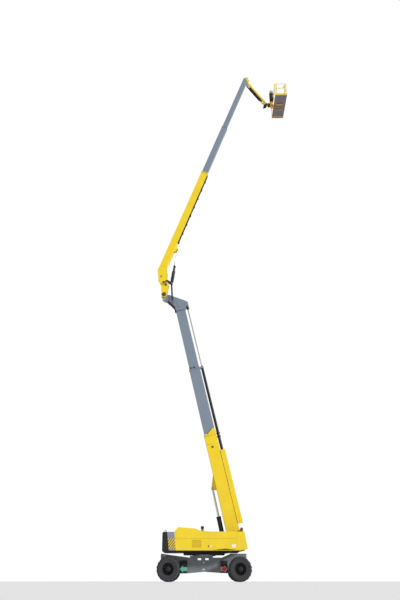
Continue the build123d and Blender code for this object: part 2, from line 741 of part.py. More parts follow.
def beacon():
    y = -(HOOD_INNER + HOOD_OUTER) / 2
    shoulder = HOOD_TOP + BEACON_BASE
    lamp = upright(BEACON_X, y, HOOD_TOP, shoulder, BEACON_RADIUS + 10)
    return lamp + upright(BEACON_X, y, shoulder, HOOD_TOP + BEACON_HEIGHT, BEACON_RADIUS)


def lower_section(start, end, depth, width):
    """One square tube of the lower boom."""
    return lower.tube(start, end, LOWER_OFFSET, depth, LOWER_Y, width, LOWER_WALL)


def lower_pads(end, depth, width, inner_depth, inner_width):
    """The pads in the mouth of a section, round the next section."""
    bore = (LOWER_OFFSET, depth - 2 * LOWER_WALL, width - 2 * LOWER_WALL)
    return lower.wear_ring(end, LOWER_Y, bore, (LOWER_OFFSET, inner_depth, inner_width))


def lower_boom_base():
    half = LOWER_DEPTH / 2
    left = LOWER_OFFSET - half
    right = LOWER_OFFSET + half
    y0 = LOWER_Y - LOWER_WIDTH / 2
    y1 = LOWER_Y + LOWER_WIDTH / 2
    base = lower_section(LOWER_ROOT, LOWER_BASE_END, LOWER_DEPTH, LOWER_WIDTH)
    root = [
        (LOWER_ROOT, left),
        (-LOWER_ROOT / 5, left + 90),
        (-LOWER_ROOT_RADIUS, -LOWER_ROOT_RADIUS),
        (-LOWER_ROOT_RADIUS, 0),
        (0, LOWER_ROOT_RADIUS),
        (LOWER_ROOT, right),
    ]
    base += lower.plate(root, y0, y1)
    base += pin(lower.origin, LOWER_ROOT_RADIUS, y0, y1)
    base -= pin(lower.origin, LOWER_PIN_RADIUS + PIN_PLAY, y0 - 1, y1 + 1)
    far = right + COVER_DEPTH
    half = COVER_WIDTH / 2
    cover = lower.block(COVER_START, COVER_END, right, far, LOWER_Y - half, LOWER_Y + half)
    start = COVER_START + LOWER_WALL
    far -= LOWER_WALL
    half -= LOWER_WALL
    cover -= lower.block(start, COVER_END + 1, right, far, LOWER_Y - half, LOWER_Y + half)
    base += cover
    base += lower_pads(LOWER_BASE_END, LOWER_DEPTH, LOWER_WIDTH, LOWER_MID_DEPTH, LOWER_MID_WIDTH)
    ear = [
        (LIFT_EYE_ALONG - 120, left),
        (LIFT_EYE_ALONG - LIFT_EYE_RADIUS, LIFT_EYE_OFFSET),
        (LIFT_EYE_ALONG + LIFT_EYE_RADIUS, LIFT_EYE_OFFSET - 40),
        (LIFT_EYE_ALONG + 780, left),
    ]
    gap = LIFT_EYE_WIDTH / 2 + 2 * RUNNING_GAP + 20
    for y in (LOWER_Y - gap - LIFT_EAR_THICKNESS, LOWER_Y + gap):
        base += lower.plate(ear, y, y + LIFT_EAR_THICKNESS)
        base += pin(LIFT_EYE, LIFT_EYE_RADIUS, y, y + LIFT_EAR_THICKNESS)
    return base


def lower_boom_mid():
    start = LOWER_BASE_END - LOWER_MID_OVERLAP
    end = LOWER_MID_END
    depth = LOWER_MID_DEPTH
    width = LOWER_MID_WIDTH
    mid = lower_section(start, end, depth, width)
    mid += lower.collar(end, LOWER_COLLAR, (LOWER_OFFSET, depth), (LOWER_Y, width), LOWER_WALL)
    mid += lower_pads(end, depth, width, LOWER_INNER_DEPTH, LOWER_INNER_WIDTH)
    edge = LOWER_OFFSET + depth / 2
    shoe = FEED_BARREL_RADIUS
    start = end - LOWER_COLLAR
    mid += lower.block(start, end, edge, FEED_OFFSET + shoe, LOWER_Y - shoe, LOWER_Y + shoe)
    return mid - lower.bar(start - 1, end + 1, FEED_OFFSET, LOWER_Y, FEED_ROD_RADIUS + PIN_PLAY)


def feed_barrel():
    """The barrel of the cylinder that pushes the lower boom's sections out."""
    end = LOWER_MID_END - LOWER_COLLAR
    start = end - FEED_BARREL_LENGTH
    barrel = lower.bar(start, end, FEED_OFFSET, LOWER_Y, FEED_BARREL_RADIUS)
    return barrel - lower.bar(start + 40, end + 1, FEED_OFFSET, LOWER_Y, FEED_BORE_RADIUS)


def feed_rod():
    start = LOWER_MID_END - LOWER_COLLAR - FEED_ROD_OVERLAP
    return lower.bar(start, LOWER_INNER_END + 200, FEED_OFFSET, LOWER_Y, FEED_ROD_RADIUS)


def lower_boom_inner():
    start = LOWER_MID_END - LOWER_MID_OVERLAP
    return lower_section(start, LOWER_INNER_END, LOWER_INNER_DEPTH, LOWER_INNER_WIDTH)


def elbow_knuckle():
    """The head of the lower boom, with the trunnion that carries the upper boom."""
    end = LOWER_INNER_END
    left = LOWER_OFFSET - LOWER_INNER_DEPTH / 2
    right = LOWER_OFFSET + LOWER_INNER_DEPTH / 2
    outline = [
        (end, left),
        (end + 310, left - 30),
        (end + 560, left - 170),
        (end + 835, left - 350),
        (ELBOW_ALONG - 160, ELBOW_OFFSET),
        (ELBOW_ALONG, ELBOW_OFFSET - ELBOW_RADIUS),
        (ELBOW_ALONG + 150, ELBOW_OFFSET),
        (ELBOW_ALONG + 150, ELBOW_OFFSET + 345),
        (end + 955, ELBOW_OFFSET + 800),
        (end + 660, ELBOW_OFFSET + 1240),
        (end + 470, FEED_OFFSET + FEED_BARREL_RADIUS),
        (end + 200, FEED_OFFSET + FEED_BARREL_RADIUS),
        (end + 200, FEED_OFFSET - FEED_BARREL_RADIUS),
        (end, right),
    ]
    body = lower.plate(outline, ELBOW_INNER_FACE, ELBOW_OUTER_FACE)
    reach = UPPER_Y - UPPER_WIDTH / 2 - RUNNING_GAP
    body += pin(ELBOW, TRUNNION_RADIUS, reach, ELBOW_INNER_FACE + 1)
    body += pin(ELBOW, TRUNNION_CAP_RADIUS, reach - 12, reach)
    arm, length = beam_between(ELBOW, ELBOW_ARM_END)
    y0 = UPPER_Y - ELBOW_ARM_WIDTH / 2
    y1 = UPPER_Y + ELBOW_ARM_WIDTH / 2
    shape = [(0, -TRUNNION_CAP_RADIUS), (length, -70), (length, 70), (0, TRUNNION_CAP_RADIUS)]
    body += arm.plate(shape, y0, y1)
    body += pin(ELBOW_ARM_END, 2 * LINK_PIN_RADIUS, y0, y1)
    return body - pin(ELBOW_ARM_END, LINK_PIN_RADIUS + PIN_PLAY, y0 - 1, y1 + 1)


def lower_lift():
    sizes = {
        "barrel_radius": LIFT_BARREL_RADIUS,
        "bore_radius": LIFT_BORE_RADIUS,
        "rod_radius": LIFT_ROD_RADIUS,
        "barrel_length": LIFT_BARREL_LENGTH,
        "overlap": LIFT_ROD_OVERLAP,
        "foot_radius": FOOT_LUG_RADIUS,
        "foot_width": 2 * LIFT_BARREL_RADIUS,
        "foot_bore": LOWER_PIN_RADIUS + PIN_PLAY,
        "eye_radius": LIFT_EYE_RADIUS,
        "eye_width": LIFT_EYE_WIDTH,
        "eye_pin": LINK_PIN_RADIUS,
        "pin_reach": 2 * RUNNING_GAP,
    }
    return cylinder_pair(LIFT_FOOT, LIFT_EYE, LOWER_Y, sizes)


def upper_section(start, end, offset, depth, width):
    """One square tube of the upper boom."""
    return upper.tube(start, end, offset, depth, UPPER_Y, width, UPPER_WALL)


def upper_pads(end, outer, inner):
    """The pads in the mouth of a section, each given as offset, depth and width."""
    bore = (outer[0], outer[1] - 2 * UPPER_WALL, outer[2] - 2 * UPPER_WALL)
    return upper.wear_ring(end, UPPER_Y, bore, inner)


def upper_boom_base():
    base = upper_section(UPPER_ROOT, UPPER_BASE_END, UPPER_OFFSET, UPPER_DEPTH, UPPER_WIDTH)
    y0 = UPPER_Y - UPPER_WIDTH / 2
    y1 = UPPER_Y + UPPER_WIDTH / 2
    top = UPPER_TOP_EDGE
    bottom = UPPER_BOTTOM_EDGE
    base += upper.block(UPPER_ROOT, UPPER_ROOT + UPPER_WALL, top, bottom, y0, y1)
    outline = [
        (-0.7 * ROOT_RADIUS, -0.7 * ROOT_RADIUS),
        (0.35 * UPPER_ROOT, top + 567),
        (0.52 * UPPER_ROOT, top + 251),
        (0.83 * UPPER_ROOT, top - 26),
        (UPPER_ROOT, top),
        (UPPER_ROOT, bottom),
        (0.885 * UPPER_ROOT, bottom + 163),
        (0.506 * UPPER_ROOT, bottom + 392),
        (0.44 * UPPER_ROOT, bottom + 599),
        (0, ROOT_RADIUS),
    ]
    size = (UPPER_OFFSET, UPPER_DEPTH, UPPER_WIDTH)
    base += upper.collar(UPPER_BASE_END, 2 * UPPER_COLLAR, size[:2], (UPPER_Y, size[2]), UPPER_WALL)
    base += upper_pads(UPPER_BASE_END, size, (UPPER_MID_OFFSET, UPPER_MID_DEPTH, UPPER_MID_WIDTH))
    for y in (y0, y1 - ROOT_PLATE):
        plate = upper.plate(outline, y, y + ROOT_PLATE)
        plate += pin(ELBOW, ROOT_RADIUS, y, y + ROOT_PLATE)
        base += plate - pin(ELBOW, TRUNNION_RADIUS + 2 * PIN_PLAY, y - 1, y + ROOT_PLATE + 1)
    base += pin(LINK_ROOT, LINK_PIN_RADIUS, y0, y1)
    ear = [
        (UPPER_EYE_ALONG - 240, bottom),
        (UPPER_EYE_ALONG - UPPER_EYE_RADIUS, UPPER_EYE_OFFSET),
        (UPPER_EYE_ALONG + UPPER_EYE_RADIUS, UPPER_EYE_OFFSET),
        (UPPER_EYE_ALONG + 360, bottom),
    ]
    gap = UPPER_EYE_WIDTH / 2 + 4 * RUNNING_GAP + 15
    for y in (UPPER_Y - gap - UPPER_EAR_THICKNESS, UPPER_Y + gap):
        base += upper.plate(ear, y, y + UPPER_EAR_THICKNESS)
        base += pin(UPPER_EYE, UPPER_EYE_RADIUS, y, y + UPPER_EAR_THICKNESS)
    return base


def upper_tray():
    """The hose tray under the upper boom."""
    half = TRAY_WIDTH / 2
    end = UPPER_BASE_END - 3 * UPPER_COLLAR
    bottom = UPPER_BOTTOM_EDGE
    return upper.block(TRAY_START, end, bottom, bottom + TRAY_DEPTH, UPPER_Y - half, UPPER_Y + half)


def upper_boom_mid():
    start = UPPER_BASE_END - UPPER_MID_OVERLAP
    end = UPPER_MID_END
    size = (UPPER_MID_OFFSET, UPPER_MID_DEPTH, UPPER_MID_WIDTH)
    mid = upper_section(start, end, *size)
    mid += upper.collar(end, UPPER_COLLAR, size[:2], (UPPER_Y, size[2]), UPPER_WALL)
    return mid + upper_pads(end, size, (UPPER_INNER_OFFSET, UPPER_INNER_DEPTH, UPPER_INNER_WIDTH))


def upper_boom_inner():
    start = UPPER_MID_END - UPPER_INNER_OVERLAP
    end = UPPER_INNER_END
    inner = upper_section(start, end, UPPER_INNER_OFFSET, UPPER_INNER_DEPTH, UPPER_INNER_WIDTH)
    y0 = UPPER_Y - UPPER_INNER_WIDTH / 2
    y1 = UPPER_Y + UPPER_INNER_WIDTH / 2
    top = UPPER_INNER_OFFSET - UPPER_INNER_DEPTH / 2
    bottom = UPPER_INNER_OFFSET + UPPER_INNER_DEPTH / 2
    head = [
        (end, top),
        (end + HEAD_LENGTH * 0.6, top + 20),
        (end + HEAD_LENGTH, TIP_OFFSET - 60),
        (end + HEAD_LENGTH, TIP_OFFSET + 60),
        (end + TIP_BEYOND, TIP_OFFSET + 130),
        (end, bottom),
    ]
    inner += upper.plate(head, y0, y1)
    lug, length = beam_between(TIP, JIB_FOOT)
    shape = [(-60, -90), (length, -60), (length, 60), (-60, 90)]
    inner += lug.plate(shape, y1, y1 + JIB_LUG_THICKNESS)
    inner += pin(JIB_FOOT, 60, y1, y1 + JIB_LUG_THICKNESS)
    inner += pin(TIP, JIB_PIN_RADIUS, y1, JIB_WIDTH / 2 + 20)
    inner += pin(TIP, JIB_PIN_RADIUS + 20, JIB_WIDTH / 2 + 2, JIB_WIDTH / 2 + 20)
    inner += pin(JIB_FOOT, JIB_ROD_RADIUS, y1, JIB_WIDTH / 2)
    return inner


def rocker_link():
    """The link from the upper boom's root to the foot of its lift cylinder."""
    line, length = beam_between(LINK_ROOT, LINK_JOINT)
    half = LINK_HALF_WIDTH
    eye = half + 10
    link = Part()
    for y in (UPPER_Y - ROCKER_INNER_HALF - ROCKER_PLATE, UPPER_Y + ROCKER_INNER_HALF):
        plate = line.block(0, length, -half, half, y, y + ROCKER_PLATE)
        plate += pin(LINK_ROOT, eye, y, y + ROCKER_PLATE)
        plate += pin(LINK_JOINT, eye, y, y + ROCKER_PLATE)
        link += plate - pin(LINK_ROOT, LINK_PIN_RADIUS + PIN_PLAY, y - 1, y + ROCKER_PLATE + 1)
    reach = ROCKER_INNER_HALF + ROCKER_PLATE
    return link + pin(LINK_JOINT, LINK_PIN_RADIUS, UPPER_Y - reach, UPPER_Y + reach)


def tie_link():
    """The link from the elbow's arm to the foot of the upper lift cylinder."""
    line, length = beam_between(ELBOW_ARM_END, LINK_JOINT)
    half = LINK_HALF_WIDTH
    eye = half + 10
    link = Part()
    for y in (UPPER_Y - TIE_INNER_HALF - TIE_PLATE, UPPER_Y + TIE_INNER_HALF):
        plate = line.block(0, length, -half, half, y, y + TIE_PLATE)
        plate += pin(ELBOW_ARM_END, eye, y, y + TIE_PLATE)
        plate += pin(LINK_JOINT, eye, y, y + TIE_PLATE)
        link += plate - pin(LINK_JOINT, LINK_PIN_RADIUS + PIN_PLAY, y - 1, y + TIE_PLATE + 1)
    reach = TIE_INNER_HALF + TIE_PLATE
    return link + pin(ELBOW_ARM_END, LINK_PIN_RADIUS, UPPER_Y - reach, UPPER_Y + reach)


def upper_lift():
    sizes = {
        "barrel_radius": UPPER_BARREL_RADIUS,
        "bore_radius": UPPER_BORE_RADIUS,
        "rod_radius": UPPER_ROD_RADIUS,
        "barrel_length": UPPER_BARREL_LENGTH,
        "overlap": UPPER_ROD_OVERLAP,
        "foot_radius": UPPER_BARREL_RADIUS,
        "foot_width": 2 * UPPER_BARREL_RADIUS,
        "foot_bore": LINK_PIN_RADIUS + PIN_PLAY,
        "eye_radius": UPPER_EYE_RADIUS,
        "eye_width": UPPER_EYE_WIDTH,
        "eye_pin": JIB_ROD_RADIUS,
        "pin_reach": 4 * RUNNING_GAP,
    }
    return cylinder_pair(LINK_JOINT, UPPER_EYE, UPPER_Y, sizes)


def jib_boom():
    """The jib with its two hubs and the ear that its cylinder's rod holds."""
    beam = jib.tube(0, JIB_LENGTH, 0, JIB_DEPTH, 0, JIB_WIDTH, JIB_WALL)
    half = JIB_WIDTH / 2
    for point in (TIP, JIB_END):
        beam += pin(point, JIB_HUB_RADIUS, -half, half)
        beam -= pin(point, JIB_PIN_RADIUS + PIN_PLAY, -half - 1, half + 1)
    ear = [
        (JIB_EYE_ALONG - 150, JIB_DEPTH / 2),
        (JIB_EYE_ALONG - 45, JIB_EYE_OFFSET),
        (JIB_EYE_ALONG + 45, JIB_EYE_OFFSET),
        (JIB_EYE_ALONG + 100, JIB_DEPTH / 2),
    ]
    for y in (-half, half - 15):
        beam += jib.plate(ear, y, y + 15)
    return beam


def jib_lift():
    sizes = {
        "barrel_radius": JIB_BARREL_RADIUS,
        "bore_radius": JIB_BORE_RADIUS,
        "rod_radius": JIB_ROD_RADIUS,
        "barrel_length": JIB_BARREL_LENGTH,
        "overlap": JIB_ROD_OVERLAP,
        "foot_radius": JIB_BARREL_RADIUS,
        "foot_width": 2 * JIB_BARREL_RADIUS,
        "foot_bore": JIB_ROD_RADIUS + PIN_PLAY,
        "eye_radius": 40,
        "eye_width": 40,
        "eye_pin": 15,
        "pin_reach": 5,
    }
    return cylinder_pair(JIB_FOOT, JIB_EYE, 0, sizes)


def level_bracket():
    """The fork on the jib's end and the rotator post that it carries."""
    gap = JIB_WIDTH / 2 + RUNNING_GAP
    plate = 25
    outline = [
        (JIB_END[0], JIB_END[1] + 90),
        (JIB_END[0], JIB_END[1] - 90),
        (ROTATOR, JIB_END[1] - 130),
        (ROTATOR, JIB_END[1] + 60),
    ]
    bracket = Part()
    for y in (-gap - plate, gap):
        bracket += slab(outline, y, y + plate)
        bracket += pin(JIB_END, 90, y, y + plate)
    bracket += pin(JIB_END, JIB_PIN_RADIUS, -gap - plate, gap + plate)
    low = JIB_END[1] - ROTATOR_DROP
    return bracket + upright(ROTATOR, 0, low, low + ROTATOR_HEIGHT, ROTATOR_RADIUS)


def basket_mount():
    """The carrier that hangs the basket on the rotator post."""
    low = JIB_END[1] - ROTATOR_DROP
    bottom = low - SEAT - 30
    arm = box(ROTATOR, BASKET_REAR, -ROTATOR_RADIUS, ROTATOR_RADIUS, bottom, low - SEAT)
    arm += upright(ROTATOR, 0, bottom, low - SEAT, ROTATOR_RADIUS)
    arm += box(BASKET_REAR - 30, BASKET_REAR, -ROTATOR_RADIUS, ROTATOR_RADIUS, bottom, BASKET_FLOOR)
    return arm


def basket_floor():
    front = BASKET_REAR + BASKET_DEPTH
    half = BASKET_LENGTH / 2
    z1 = BASKET_FLOOR
    floor = box(BASKET_REAR, front, -half, half, z1 - FLOOR_THICKNESS, z1)
    step_x = (BASKET_DEPTH - FLOOR_BAR) / FLOOR_CELLS_ACROSS
    step_y = (BASKET_LENGTH - FLOOR_BAR) / FLOOR_CELLS_ALONG
    cell = box(0, step_x - FLOOR_BAR, 0, step_y - FLOOR_BAR, z1 - FLOOR_THICKNESS - 1, z1 + 1)
    cells = []
    for i in range(FLOOR_CELLS_ACROSS):
        for j in range(FLOOR_CELLS_ALONG):
            x = BASKET_REAR + FLOOR_BAR + i * step_x
            y = -half + FLOOR_BAR + j * step_y
            cells.append(Pos(x, y, 0) * cell)
    return floor - cells


def rail_panel(length):
    """A rail panel along X from 0 to length, with its posts, two rails and toe board."""
    r = RAIL_RADIUS
    z0 = BASKET_FLOOR
    panel = box(0, length, -TOE_THICKNESS / 2, TOE_THICKNESS / 2, z0, z0 + TOE_HEIGHT)
    for height in (RAIL_MID_HEIGHT, RAIL_HEIGHT - r):
        rail_plane = Plane(origin=(0, 0, z0 + height), z_dir=(1, 0, 0))
        panel += extrude(rail_plane * Circle(r), amount=length)
    return panel


def posts(length, count):
    """Upright posts spread evenly along X from 0 to length."""
    shape = Part()
    for i in range(count):
        x = RAIL_RADIUS + i * (length - 2 * RAIL_RADIUS) / (count - 1)
        shape += upright(x, 0, BASKET_FLOOR, BASKET_FLOOR + RAIL_HEIGHT - RAIL_RADIUS, RAIL_RADIUS)
    return shape


def long_rail(x):
    """A rail along the basket's length, with the corner posts."""
    panel = rail_panel(BASKET_LENGTH) + posts(BASKET_LENGTH, RAIL_POSTS_ALONG)
    return Pos(x, -BASKET_LENGTH / 2, 0) * Rot(0, 0, 90) * panel


def end_rail():
    """The closed rail at the basket's left end, between the corner posts."""
    length = BASKET_DEPTH - 4 * RAIL_RADIUS - 2 * SEAT
    x = BASKET_REAR + 2 * RAIL_RADIUS + SEAT
    return Pos(x, BASKET_LENGTH / 2 - RAIL_RADIUS, 0) * rail_panel(length)


def gate_jambs():
    """The two fixed stubs beside the gate at the basket's right end."""
    y = -BASKET_LENGTH / 2 + RAIL_RADIUS
    length = (BASKET_DEPTH - 4 * RAIL_RADIUS - 2 * SEAT - GATE_WIDTH) / 2 - RUNNING_GAP
    stub = rail_panel(length) + upright(length - RAIL_RADIUS, 0, BASKET_FLOOR, gate_top(), RAIL_RADIUS)
    rear = Pos(BASKET_REAR + 2 * RAIL_RADIUS + SEAT, y, 0) * stub
    post_x = gate_hinge_x()
    for z, pin_z in ((BASKET_FLOOR, BASKET_FLOOR), (gate_top() + 5, gate_top() - 25)):
        rear += box(post_x - RAIL_RADIUS - 30, post_x, y - 15, y + 15, z, z + GATE_PIVOT)
        rear += upright(post_x, y, z, z + GATE_PIVOT, 15)
        rear += upright(post_x, y, pin_z, pin_z + GATE_PIVOT + 30, GATE_PIN_RADIUS)
    front_x = BASKET_REAR + BASKET_DEPTH - 2 * RAIL_RADIUS - SEAT
    front = Pos(front_x, y, 0) * Rot(0, 0, 180) * stub
    return rear + front


def gate_hinge_x():
    return BASKET_REAR + (BASKET_DEPTH - GATE_WIDTH) / 2 + RAIL_RADIUS


def gate_top():
    return BASKET_FLOOR + RAIL_HEIGHT - RAIL_RADIUS


def gate():
    """The swinging gate, lifted off the floor by its lower pivot."""
    y = -BASKET_LENGTH / 2 + RAIL_RADIUS
    x = gate_hinge_x() - RAIL_RADIUS
    panel = Pos(x, y, 0) * (rail_panel(GATE_WIDTH) + posts(GATE_WIDTH, 2))
    panel &= box(x, x + GATE_WIDTH, y - 50, y + 50, BASKET_FLOOR + GATE_PIVOT + 5, gate_top())
    return panel - upright(gate_hinge_x(), y, 0, 2 * BASKET_FLOOR, GATE_PIN_RADIUS + PIN_PLAY)


def control_console():
    x1 = BASKET_REAR - SEAT
    z0 = BASKET_FLOOR + CONSOLE_BOTTOM
    z1 = BASKET_FLOOR + CONSOLE_TOP
    return box(x1 - CONSOLE_DEPTH, x1, -CONSOLE_HALF_WIDTH, CONSOLE_HALF_WIDTH, z0, z1)


def build_nodes():
    """Every piece by name, in the frame of the slewing axis."""
    nodes = {}
    nodes["chassis_frame"] = chassis_frame()
    nodes["side_lockers"] = side_lockers()
    nodes["slew_ring"] = slew_ring()
    for end, x, inward in (("front", WHEELBASE / 2, -1), ("rear", -WHEELBASE / 2, 1)):
        nodes["axle_" + end] = axle(x)
        pieces = {"knuckle": knuckle(x, inward), "rim": rim(x), "tyre": tyre(x)}
        for name, shape in pieces.items():
            nodes[f"{name}_{end}_left"] = shape
            nodes[f"{name}_{end}_right"] = mirrored(shape)
    nodes["turntable_frame"] = turntable_frame()
    nodes["counterweight"] = counterweight()
    nodes["tail_cabinets"] = tail_cabinets()
    body = hood_body()
    lid = hood_lid()
    nodes["hood_left"] = body
    nodes["hood_right"] = mirrored(body)
    nodes["lid_left"] = lid
    nodes["lid_right"] = mirrored(lid)
    nodes["engine_block"] = engine_block()
    nodes["air_stack"] = air_stack()
    nodes["beacon"] = beacon()
    nodes["lower_boom_base"] = lower_boom_base()
    nodes["lower_boom_mid"] = lower_boom_mid()
    nodes["lower_boom_inner"] = lower_boom_inner()
    nodes["feed_barrel"] = feed_barrel()
    nodes["feed_rod"] = feed_rod()
    nodes["elbow_knuckle"] = elbow_knuckle()
    nodes["lower_lift_barrel"], nodes["lower_lift_rod"] = lower_lift()
    nodes["upper_boom_base"] = upper_boom_base()
    nodes["upper_tray"] = upper_tray()
    nodes["upper_boom_mid"] = upper_boom_mid()
    nodes["upper_boom_inner"] = upper_boom_inner()
    nodes["rocker_link"] = rocker_link()
    nodes["tie_link"] = tie_link()
    nodes["upper_lift_barrel"], nodes["upper_lift_rod"] = upper_lift()
    nodes["jib_boom"] = jib_boom()
    nodes["jib_lift_barrel"], nodes["jib_lift_rod"] = jib_lift()
    nodes["level_bracket"] = level_bracket()
    nodes["basket_mount"] = basket_mount()
    nodes["basket_floor"] = basket_floor()
    nodes["rail_rear"] = long_rail(BASKET_REAR + RAIL_RADIUS)
    nodes["rail_front"] = long_rail(BASKET_REAR + BASKET_DEPTH - RAIL_RADIUS)
    nodes["rail_left"] = end_rail()
    nodes["rail_right"] = gate_jambs()
    nodes["gate"] = gate()
    nodes["control_console"] = control_console()
    return nodes


def whole_bounds(nodes):
    """The corners of the box around all pieces."""
    boxes = [shape.bounding_box() for shape in nodes.values()]
    low = [min(b.min.X for b in boxes), min(b.min.Y for b in boxes), min(b.min.Z for b in boxes)]
    high = [max(b.max.X for b in boxes), max(b.max.Y for b in boxes), max(b.max.Z for b in boxes)]
    return low, high


NODES = build_nodes()
LOW, HIGH = whole_bounds(NODES)
SHIFT = (-(LOW[0] + HIGH[0]) / 2, -(LOW[1] + HIGH[1]) / 2, -LOW[2])
os.makedirs("parts", exist_ok=True)
for node_name, node_shape in NODES.items():
    export_step(Pos(*SHIFT) * node_shape, f"parts/{node_name}.step")
print("size", [round(h - l, 1) for l, h in zip(LOW, HIGH)], "shift", [round(s, 2) for s in SHIFT])
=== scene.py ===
import sys
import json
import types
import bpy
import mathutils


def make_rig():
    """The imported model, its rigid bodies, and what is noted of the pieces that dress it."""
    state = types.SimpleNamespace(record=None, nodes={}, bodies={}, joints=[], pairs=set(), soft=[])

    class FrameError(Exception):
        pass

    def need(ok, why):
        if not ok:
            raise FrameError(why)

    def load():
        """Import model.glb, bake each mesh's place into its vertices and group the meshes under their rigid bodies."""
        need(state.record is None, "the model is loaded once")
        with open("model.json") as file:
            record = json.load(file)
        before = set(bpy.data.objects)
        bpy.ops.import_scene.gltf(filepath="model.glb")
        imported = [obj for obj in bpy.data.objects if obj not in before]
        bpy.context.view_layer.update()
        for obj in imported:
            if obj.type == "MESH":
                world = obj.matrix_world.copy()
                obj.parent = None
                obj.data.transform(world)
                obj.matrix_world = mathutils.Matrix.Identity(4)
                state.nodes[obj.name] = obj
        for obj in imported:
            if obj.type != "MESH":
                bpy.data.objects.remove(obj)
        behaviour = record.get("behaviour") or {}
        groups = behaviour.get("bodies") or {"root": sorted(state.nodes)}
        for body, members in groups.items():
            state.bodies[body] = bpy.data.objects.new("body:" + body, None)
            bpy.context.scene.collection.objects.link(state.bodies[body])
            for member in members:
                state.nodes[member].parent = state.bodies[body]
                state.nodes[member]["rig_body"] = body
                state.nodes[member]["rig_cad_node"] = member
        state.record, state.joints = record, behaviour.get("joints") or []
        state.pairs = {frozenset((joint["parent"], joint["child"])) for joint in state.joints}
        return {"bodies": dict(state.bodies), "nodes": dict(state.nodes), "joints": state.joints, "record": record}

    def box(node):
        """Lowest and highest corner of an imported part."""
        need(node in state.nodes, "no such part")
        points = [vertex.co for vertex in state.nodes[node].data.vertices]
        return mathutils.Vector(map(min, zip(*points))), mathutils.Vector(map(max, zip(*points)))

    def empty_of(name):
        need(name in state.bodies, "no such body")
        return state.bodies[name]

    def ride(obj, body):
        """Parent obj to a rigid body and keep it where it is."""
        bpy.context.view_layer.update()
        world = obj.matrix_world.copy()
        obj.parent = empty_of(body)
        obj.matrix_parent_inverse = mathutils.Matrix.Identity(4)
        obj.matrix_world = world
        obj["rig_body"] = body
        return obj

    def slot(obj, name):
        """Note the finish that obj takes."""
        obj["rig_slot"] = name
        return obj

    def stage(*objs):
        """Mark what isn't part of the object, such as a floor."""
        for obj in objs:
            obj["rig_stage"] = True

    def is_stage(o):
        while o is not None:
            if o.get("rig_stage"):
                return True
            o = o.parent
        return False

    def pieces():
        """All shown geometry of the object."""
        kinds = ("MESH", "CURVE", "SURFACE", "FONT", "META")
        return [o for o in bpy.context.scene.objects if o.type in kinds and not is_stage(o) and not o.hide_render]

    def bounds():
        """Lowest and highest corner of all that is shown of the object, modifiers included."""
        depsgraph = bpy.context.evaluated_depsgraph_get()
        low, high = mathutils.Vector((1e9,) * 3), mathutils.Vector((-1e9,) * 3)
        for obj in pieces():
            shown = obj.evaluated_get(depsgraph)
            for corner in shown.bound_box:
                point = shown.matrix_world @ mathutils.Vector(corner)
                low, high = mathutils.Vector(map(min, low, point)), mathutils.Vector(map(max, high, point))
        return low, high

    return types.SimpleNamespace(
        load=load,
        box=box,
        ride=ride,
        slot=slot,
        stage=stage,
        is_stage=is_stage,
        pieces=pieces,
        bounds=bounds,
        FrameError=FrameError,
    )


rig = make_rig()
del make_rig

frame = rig.load()

import json
from math import cos, pi, radians, sin

import bmesh
import bpy
from bpy.props import FloatProperty, FloatVectorProperty, IntProperty, PointerProperty
from mathutils import Matrix, Vector

CAD_LOW, CAD_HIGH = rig.bounds()

bl_info = {
    "name": "Articulating boom lift", "version": (1, 0, 0), "blender": (4, 5, 0),
    "location": "View3D > Sidebar > Boom Lift",
    "description": "Dresses the boom lift's frame with its paints, trim and studio",
    "category": "Add Mesh"
}

# Places taken from the frame

JOINTS = {joint["name"]: joint for joint in frame["joints"]}
SIDES = (-1, 1)
NAMED_SIDES = ((-1, "right"), (1, "left"))
WHEELS = [
    (f"{end}_{side}", out)
    for end in ("front", "rear")
    for side, out in (("left", 1), ("right", -1))
]
SLEW_HEIGHT = 1.43
AXLE_PLACE = 1.875
WHEEL_FACE = 0.012
CHANNEL_FLOOR = 1.331
DECK_TOP = 1.469
LID_TOP = 2.384
SLOT_FOOT = 1.488
HOOD_SKIN = 0.003
HOOD_MIDDLE = 0.94
RAIL_RADIUS = 0.019
RAIL_INSET = 0.0227
POST_SPACE = 0.82
LOWER_MIDDLE = 0.29
FEED_LINE = -0.205
SKY_STRENGTH = 0.42
FLOOR_SIZE = 400
MACHINE = Vector(JOINTS["slew"]["pos_m"]) - Vector((0, 0, SLEW_HEIGHT))


def corner(node, high=0):
    """The lowest corner of a node, or the highest."""
    return Vector(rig.box(node)[high])


def joint_at(name):
    return Vector(JOINTS[name]["pos_m"])


class Member:
    """A straight member's own axes: X along it, Y across the machine and Z out of its back."""

    def __init__(self, origin, along):
        along = Vector(along).normalized()
        back = along.cross(Vector((0, 1, 0)))
        turn = Matrix((along, (0, 1, 0), back)).transposed().to_4x4()
        self.matrix = Matrix.Translation(origin) @ turn


def cylinder_line(tilt, push):
    """A lift cylinder's own axes, from its foot pin."""
    return Member(joint_at(tilt), JOINTS[push]["axis"])


LOWER = Member(joint_at("raise_lower_boom"), JOINTS["extend_lower_mid"]["axis"])
UPPER = Member(joint_at("raise_upper_boom"), JOINTS["extend_upper_mid"]["axis"])
JIB = Member(joint_at("raise_jib"), joint_at("level_basket") - joint_at("raise_jib"))
LOWER_LIFT = cylinder_line("tilt_lower_cylinder", "push_lower_rod")
UPPER_LIFT = cylinder_line("tilt_upper_cylinder", "push_upper_rod")
JIB_LIFT = cylinder_line("tilt_jib_cylinder", "push_jib_rod")
GROUND = Member(MACHINE, (1, 0, 0))


